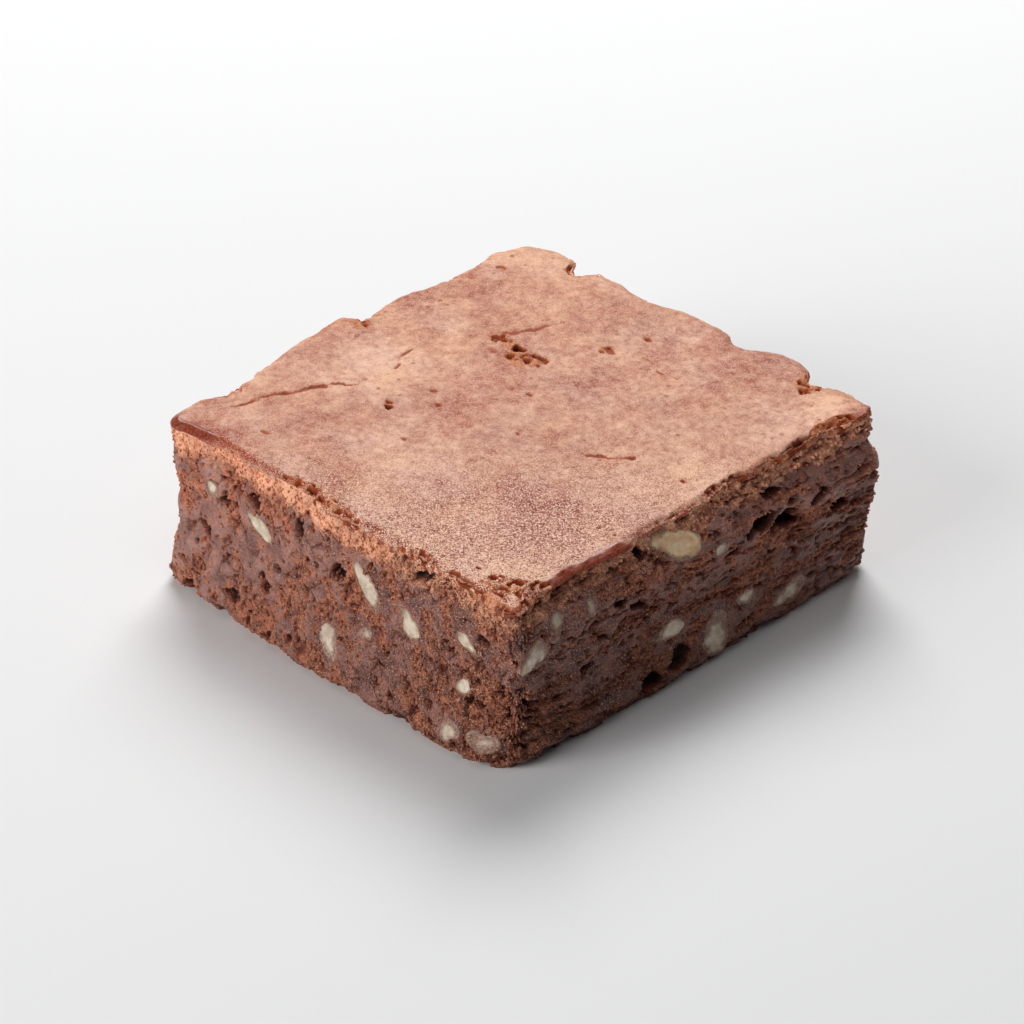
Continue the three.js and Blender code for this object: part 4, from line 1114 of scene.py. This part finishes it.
def nut_shell(place, length, width, depth, seed, veil):
    """One nut: a lumpy half ball sunk in the crumb, closed by a nearly flat cut face.

    Rows run from its bottom pole to the middle of the face, and columns run round it.
    """
    centre, right, up, out = place
    down_angle = np.radians(np.linspace(-80, 0, SUNK_ROWS))
    share = np.concatenate([np.cos(down_angle), np.linspace(0.97, 0.05, FACE_ROWS)])
    level = np.concatenate([np.sin(down_angle) * depth, np.full(FACE_ROWS, 0.02)])
    angle, r = np.meshgrid(np.linspace(0, 2 * np.pi, NUT_COLUMNS, endpoint=False), share)
    uneven = nut_unevenness(angle, seed)
    u = np.cos(angle) * r * uneven * (length / 2 + NUT_MARGIN)
    v = -np.sin(angle) * r * uneven * (width / 2 + NUT_MARGIN)
    w = np.broadcast_to(level[:, None], u.shape) - FACE_DROP - 0.15 * smooth(r, 0.88, 1.0)
    points = centre + u[..., None] * right + v[..., None] * up + w[..., None] * out
    fibre = np.stack([u / 1.6, v / 0.35, np.full_like(u, seed)], -1)
    on_face = (level > 0)[:, None]
    points = points + (0.02 * lumps(fibre) + 0.1 * lumps(points / 1.1))[..., None] * out * on_face[..., None]
    points = points + 0.12 * lumps(points / 0.9)[..., None] * out * ~on_face[..., None]
    faded_end = 0.7 * r * np.cos(angle - math.pi * (seed % 2))
    covered = 0.9 * layered(points / 1.3 + 3, 5) + 1.3 * veil - 0.8 + 1.8 * r**2 + faded_end
    smeared = smooth(covered, -0.1, 0.8)
    skin = smooth(r, 0.8, 0.95) * smooth(np.cos(angle - seed), 0.2, 0.7)
    poles = np.stack([centre - (depth + FACE_DROP) * out, centre - FACE_DROP * out])
    quads = grid_quads(len(share), NUT_COLUMNS)
    wrap = np.arange(len(share) - 1) * NUT_COLUMNS
    seam = np.stack([wrap + NUT_COLUMNS - 1, wrap + 2 * NUT_COLUMNS - 1, wrap + NUT_COLUMNS, wrap], -1)
    first = np.arange(NUT_COLUMNS)
    last = (len(share) - 1) * NUT_COLUMNS + first
    low, high = u.size, u.size + 1
    fans = [
        np.stack([np.full(NUT_COLUMNS, low), first, np.roll(first, -1)], -1),
        np.stack([np.full(NUT_COLUMNS, high), np.roll(last, -1), last], -1),
    ]
    points = np.concatenate([points.reshape(-1, 3), poles])
    values = {
        "veil": np.append(smeared.ravel(), [0, smeared.mean()]),
        # Partly its own warm tone, partly painted light: the nut whose crumb cover is below 0 is drawn golden
        # and lighter.
        "lit_golden": np.full(u.size + 2, smooth(-veil, 0.0, 0.05)),
        "skin": np.append(skin.ravel(), [1, 0]),
        "fibre": np.append(lumps(fibre).ravel(), [0, 0]) * 0.5 + 0.5,
    }
    return points, [np.concatenate([quads, seam]), np.concatenate(fans)], values


def walnut_material():
    """Nut flesh: ivory, a little translucent and oily, tan to brown at the skin, under a film of crumb."""
    material, tree, shader, place = new_material("walnut_flesh")
    veil, skin, fibre = value_of(tree, "veil"), value_of(tree, "skin"), value_of(tree, "fibre")
    fine = placed(tree, baked_grain, {"Place": place, "Size": 0.00045})
    cloud = noise(tree, place, 900.0, 2.0)
    tone = reckoned(tree, "ADD", ranged(tree, cloud, 0.35, 0.65, 0.0, 0.8), times(tree, fibre, 0.2))
    flesh = mixed(tree, tone, paint(182, 162, 136), paint(228, 213, 192))
    flesh = mixed(tree, times(tree, fine.outputs["Specks"], 0.2), flesh, paint(172, 146, 116))
    # Painted light: the golden nut has its own warm yellow, drawn lighter than it is.
    lit_gold = mixed(tree, tone, paint(232, 178, 130), paint(255, 232, 192))
    flesh = mixed(tree, value_of(tree, "lit_golden"), flesh, lit_gold)
    colour = mixed(tree, times(tree, skin, 0.6), flesh, paint(158, 106, 66))
    film = mixed(tree, fine.outputs["Specks"], paint(104, 64, 54), paint(154, 106, 86))
    flecks = reckoned(tree, "ADD", fine.outputs["Specks"], times(tree, veil, 0.8))
    flecks = ranged(tree, flecks, 0.95, 1.15)
    covered = reckoned(tree, "MAXIMUM", times(tree, veil, 0.85), times(tree, flecks, 0.7))
    colour = mixed(tree, covered, colour, film)
    # On the crumb film, some granules are darkened to their own darker colour, and some lightened to painted
    # glints.
    grit_and_glint_sockets = {
        "Colour": colour, "Glints": fine.outputs["Glints"], "Share": 0.14,
        "Strength": times(tree, veil, 0.7), "Dark": paint(84, 38, 26), "Light": paint(220, 160, 120),
    }
    colour = placed(tree, grit_and_glints, grit_and_glint_sockets).outputs[0]
    tree.links.new(colour, shader.inputs["Base Color"])
    shader.inputs["Roughness"].default_value = 0.42
    shader.inputs["Subsurface Weight"].default_value = 0.15
    shader.inputs["Subsurface Radius"].default_value = (0.0012, 0.0008, 0.0005)
    rough_grain(tree, shader, fine, 0.4, 0.00005)
    return material


def walnuts_on(name, material):
    """All the nuts of one side, joined in one mesh of closed shells."""
    features = np.array(WALNUTS[name], float)
    points, quads, fans, values, start = [], [], [], [], 0
    placed_nuts = enumerate(zip(features, *places_on(name, features)))
    for n, ((_, _, length, width, depth, _, veil), *place) in placed_nuts:
        shell, groups, held = nut_shell(place, length, width, depth, nut_seed(name, n), veil)
        points.append(shell)
        quads.append(groups[0] + start)
        fans.append(groups[1] + start)
        values.append(held)
        start += len(shell)
    joined = {k: np.concatenate([held[k] for held in values]) for k in values[0]}
    groups = [np.concatenate(quads), np.concatenate(fans)]
    return mesh_piece("walnuts_" + name, np.concatenate(points), groups, joined, material)


walnut_flesh = walnut_material()
for side_name, nuts in WALNUTS.items():
    pieces = walnuts_on(side_name, walnut_flesh)
    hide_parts(*(f"walnut_{side_name}_{n + 1}" for n in range(len(nuts))))

# The floor: a plain pale sheet under soft studio light
FLOOR_REACH = 3.0
MIDDLE = Vector((0, 0, 0.012))
floor_mesh = bpy.data.meshes.new("floor")
corners = [(x * FLOOR_REACH, y * FLOOR_REACH, 0) for x, y in ((-1, -1), (1, -1), (1, 1), (-1, 1))]
floor_mesh.from_pydata(corners, [], [(0, 1, 2, 3)])
floor = bpy.data.objects.new("floor", floor_mesh)
bpy.context.scene.collection.objects.link(floor)
floor_material = bpy.data.materials.new("pale_floor")
floor_material.use_nodes = True
floor_shader = floor_material.node_tree.nodes["Principled BSDF"]
floor_shader.inputs["Base Color"].default_value = (0.82, 0.82, 0.82, 1)
floor_shader.inputs["Roughness"].default_value = 0.9
floor_mesh.materials.append(floor_material)


def soft_light(name, place, power, size):
    """A square area light that faces the middle."""
    light = bpy.data.lights.new(name, "AREA")
    light.energy = power
    light.size = size
    lamp = bpy.data.objects.new(name, light)
    lamp.location = place
    lamp.rotation_euler = (MIDDLE - Vector(place)).to_track_quat("-Z", "Y").to_euler()
    bpy.context.scene.collection.objects.link(lamp)


soft_light("key", (-0.40, 0.45, 0.62), 7.4, 0.5)
soft_light("overhead", (0.35, -0.05, 0.85), 0.8, 0.5)
soft_light("fill", (-0.15, -0.75, 0.40), 3.6, 0.5)
soft_light("low_fill", (-0.35, -0.70, 0.15), 1.7, 0.4)
world = bpy.data.worlds.new("studio")
world.use_nodes = True
background = world.node_tree.nodes["Background"]
background.inputs["Color"].default_value = (0.88, 0.94, 1, 1)
background.inputs["Strength"].default_value = 0.045
bpy.context.scene.world = world
bpy.context.scene.view_settings.view_transform = "Standard"

# The camera: the photograph's angle, 45 degrees round from the front and 33 degrees down, through a long lens
AZIMUTH, ELEVATION = math.radians(45.0), math.radians(32.95)
DISTANCE = 0.576
LENS, SENSOR = 152.73, 36.0
AIM_RIGHT, AIM_UP = -0.00125, -0.00229
right = Vector((math.cos(AZIMUTH), math.sin(AZIMUTH), 0))
level_back = Vector((math.sin(AZIMUTH), -math.cos(AZIMUTH), 0))
back = level_back * math.cos(ELEVATION) + Vector((0, 0, math.sin(ELEVATION)))
up = back.cross(right)
aim = MIDDLE + Vector(OUTLINE_MIDDLE / 1000) + right * AIM_RIGHT + up * AIM_UP
camera_data = bpy.data.cameras.new("camera")
camera_data.lens = LENS
camera_data.sensor_width = SENSOR
camera = bpy.data.objects.new("camera", camera_data)
turned = Matrix((right, up, back)).transposed().to_4x4()
camera.matrix_world = Matrix.Translation(aim + back * DISTANCE) @ turned
bpy.context.scene.collection.objects.link(camera)
bpy.context.scene.camera = camera
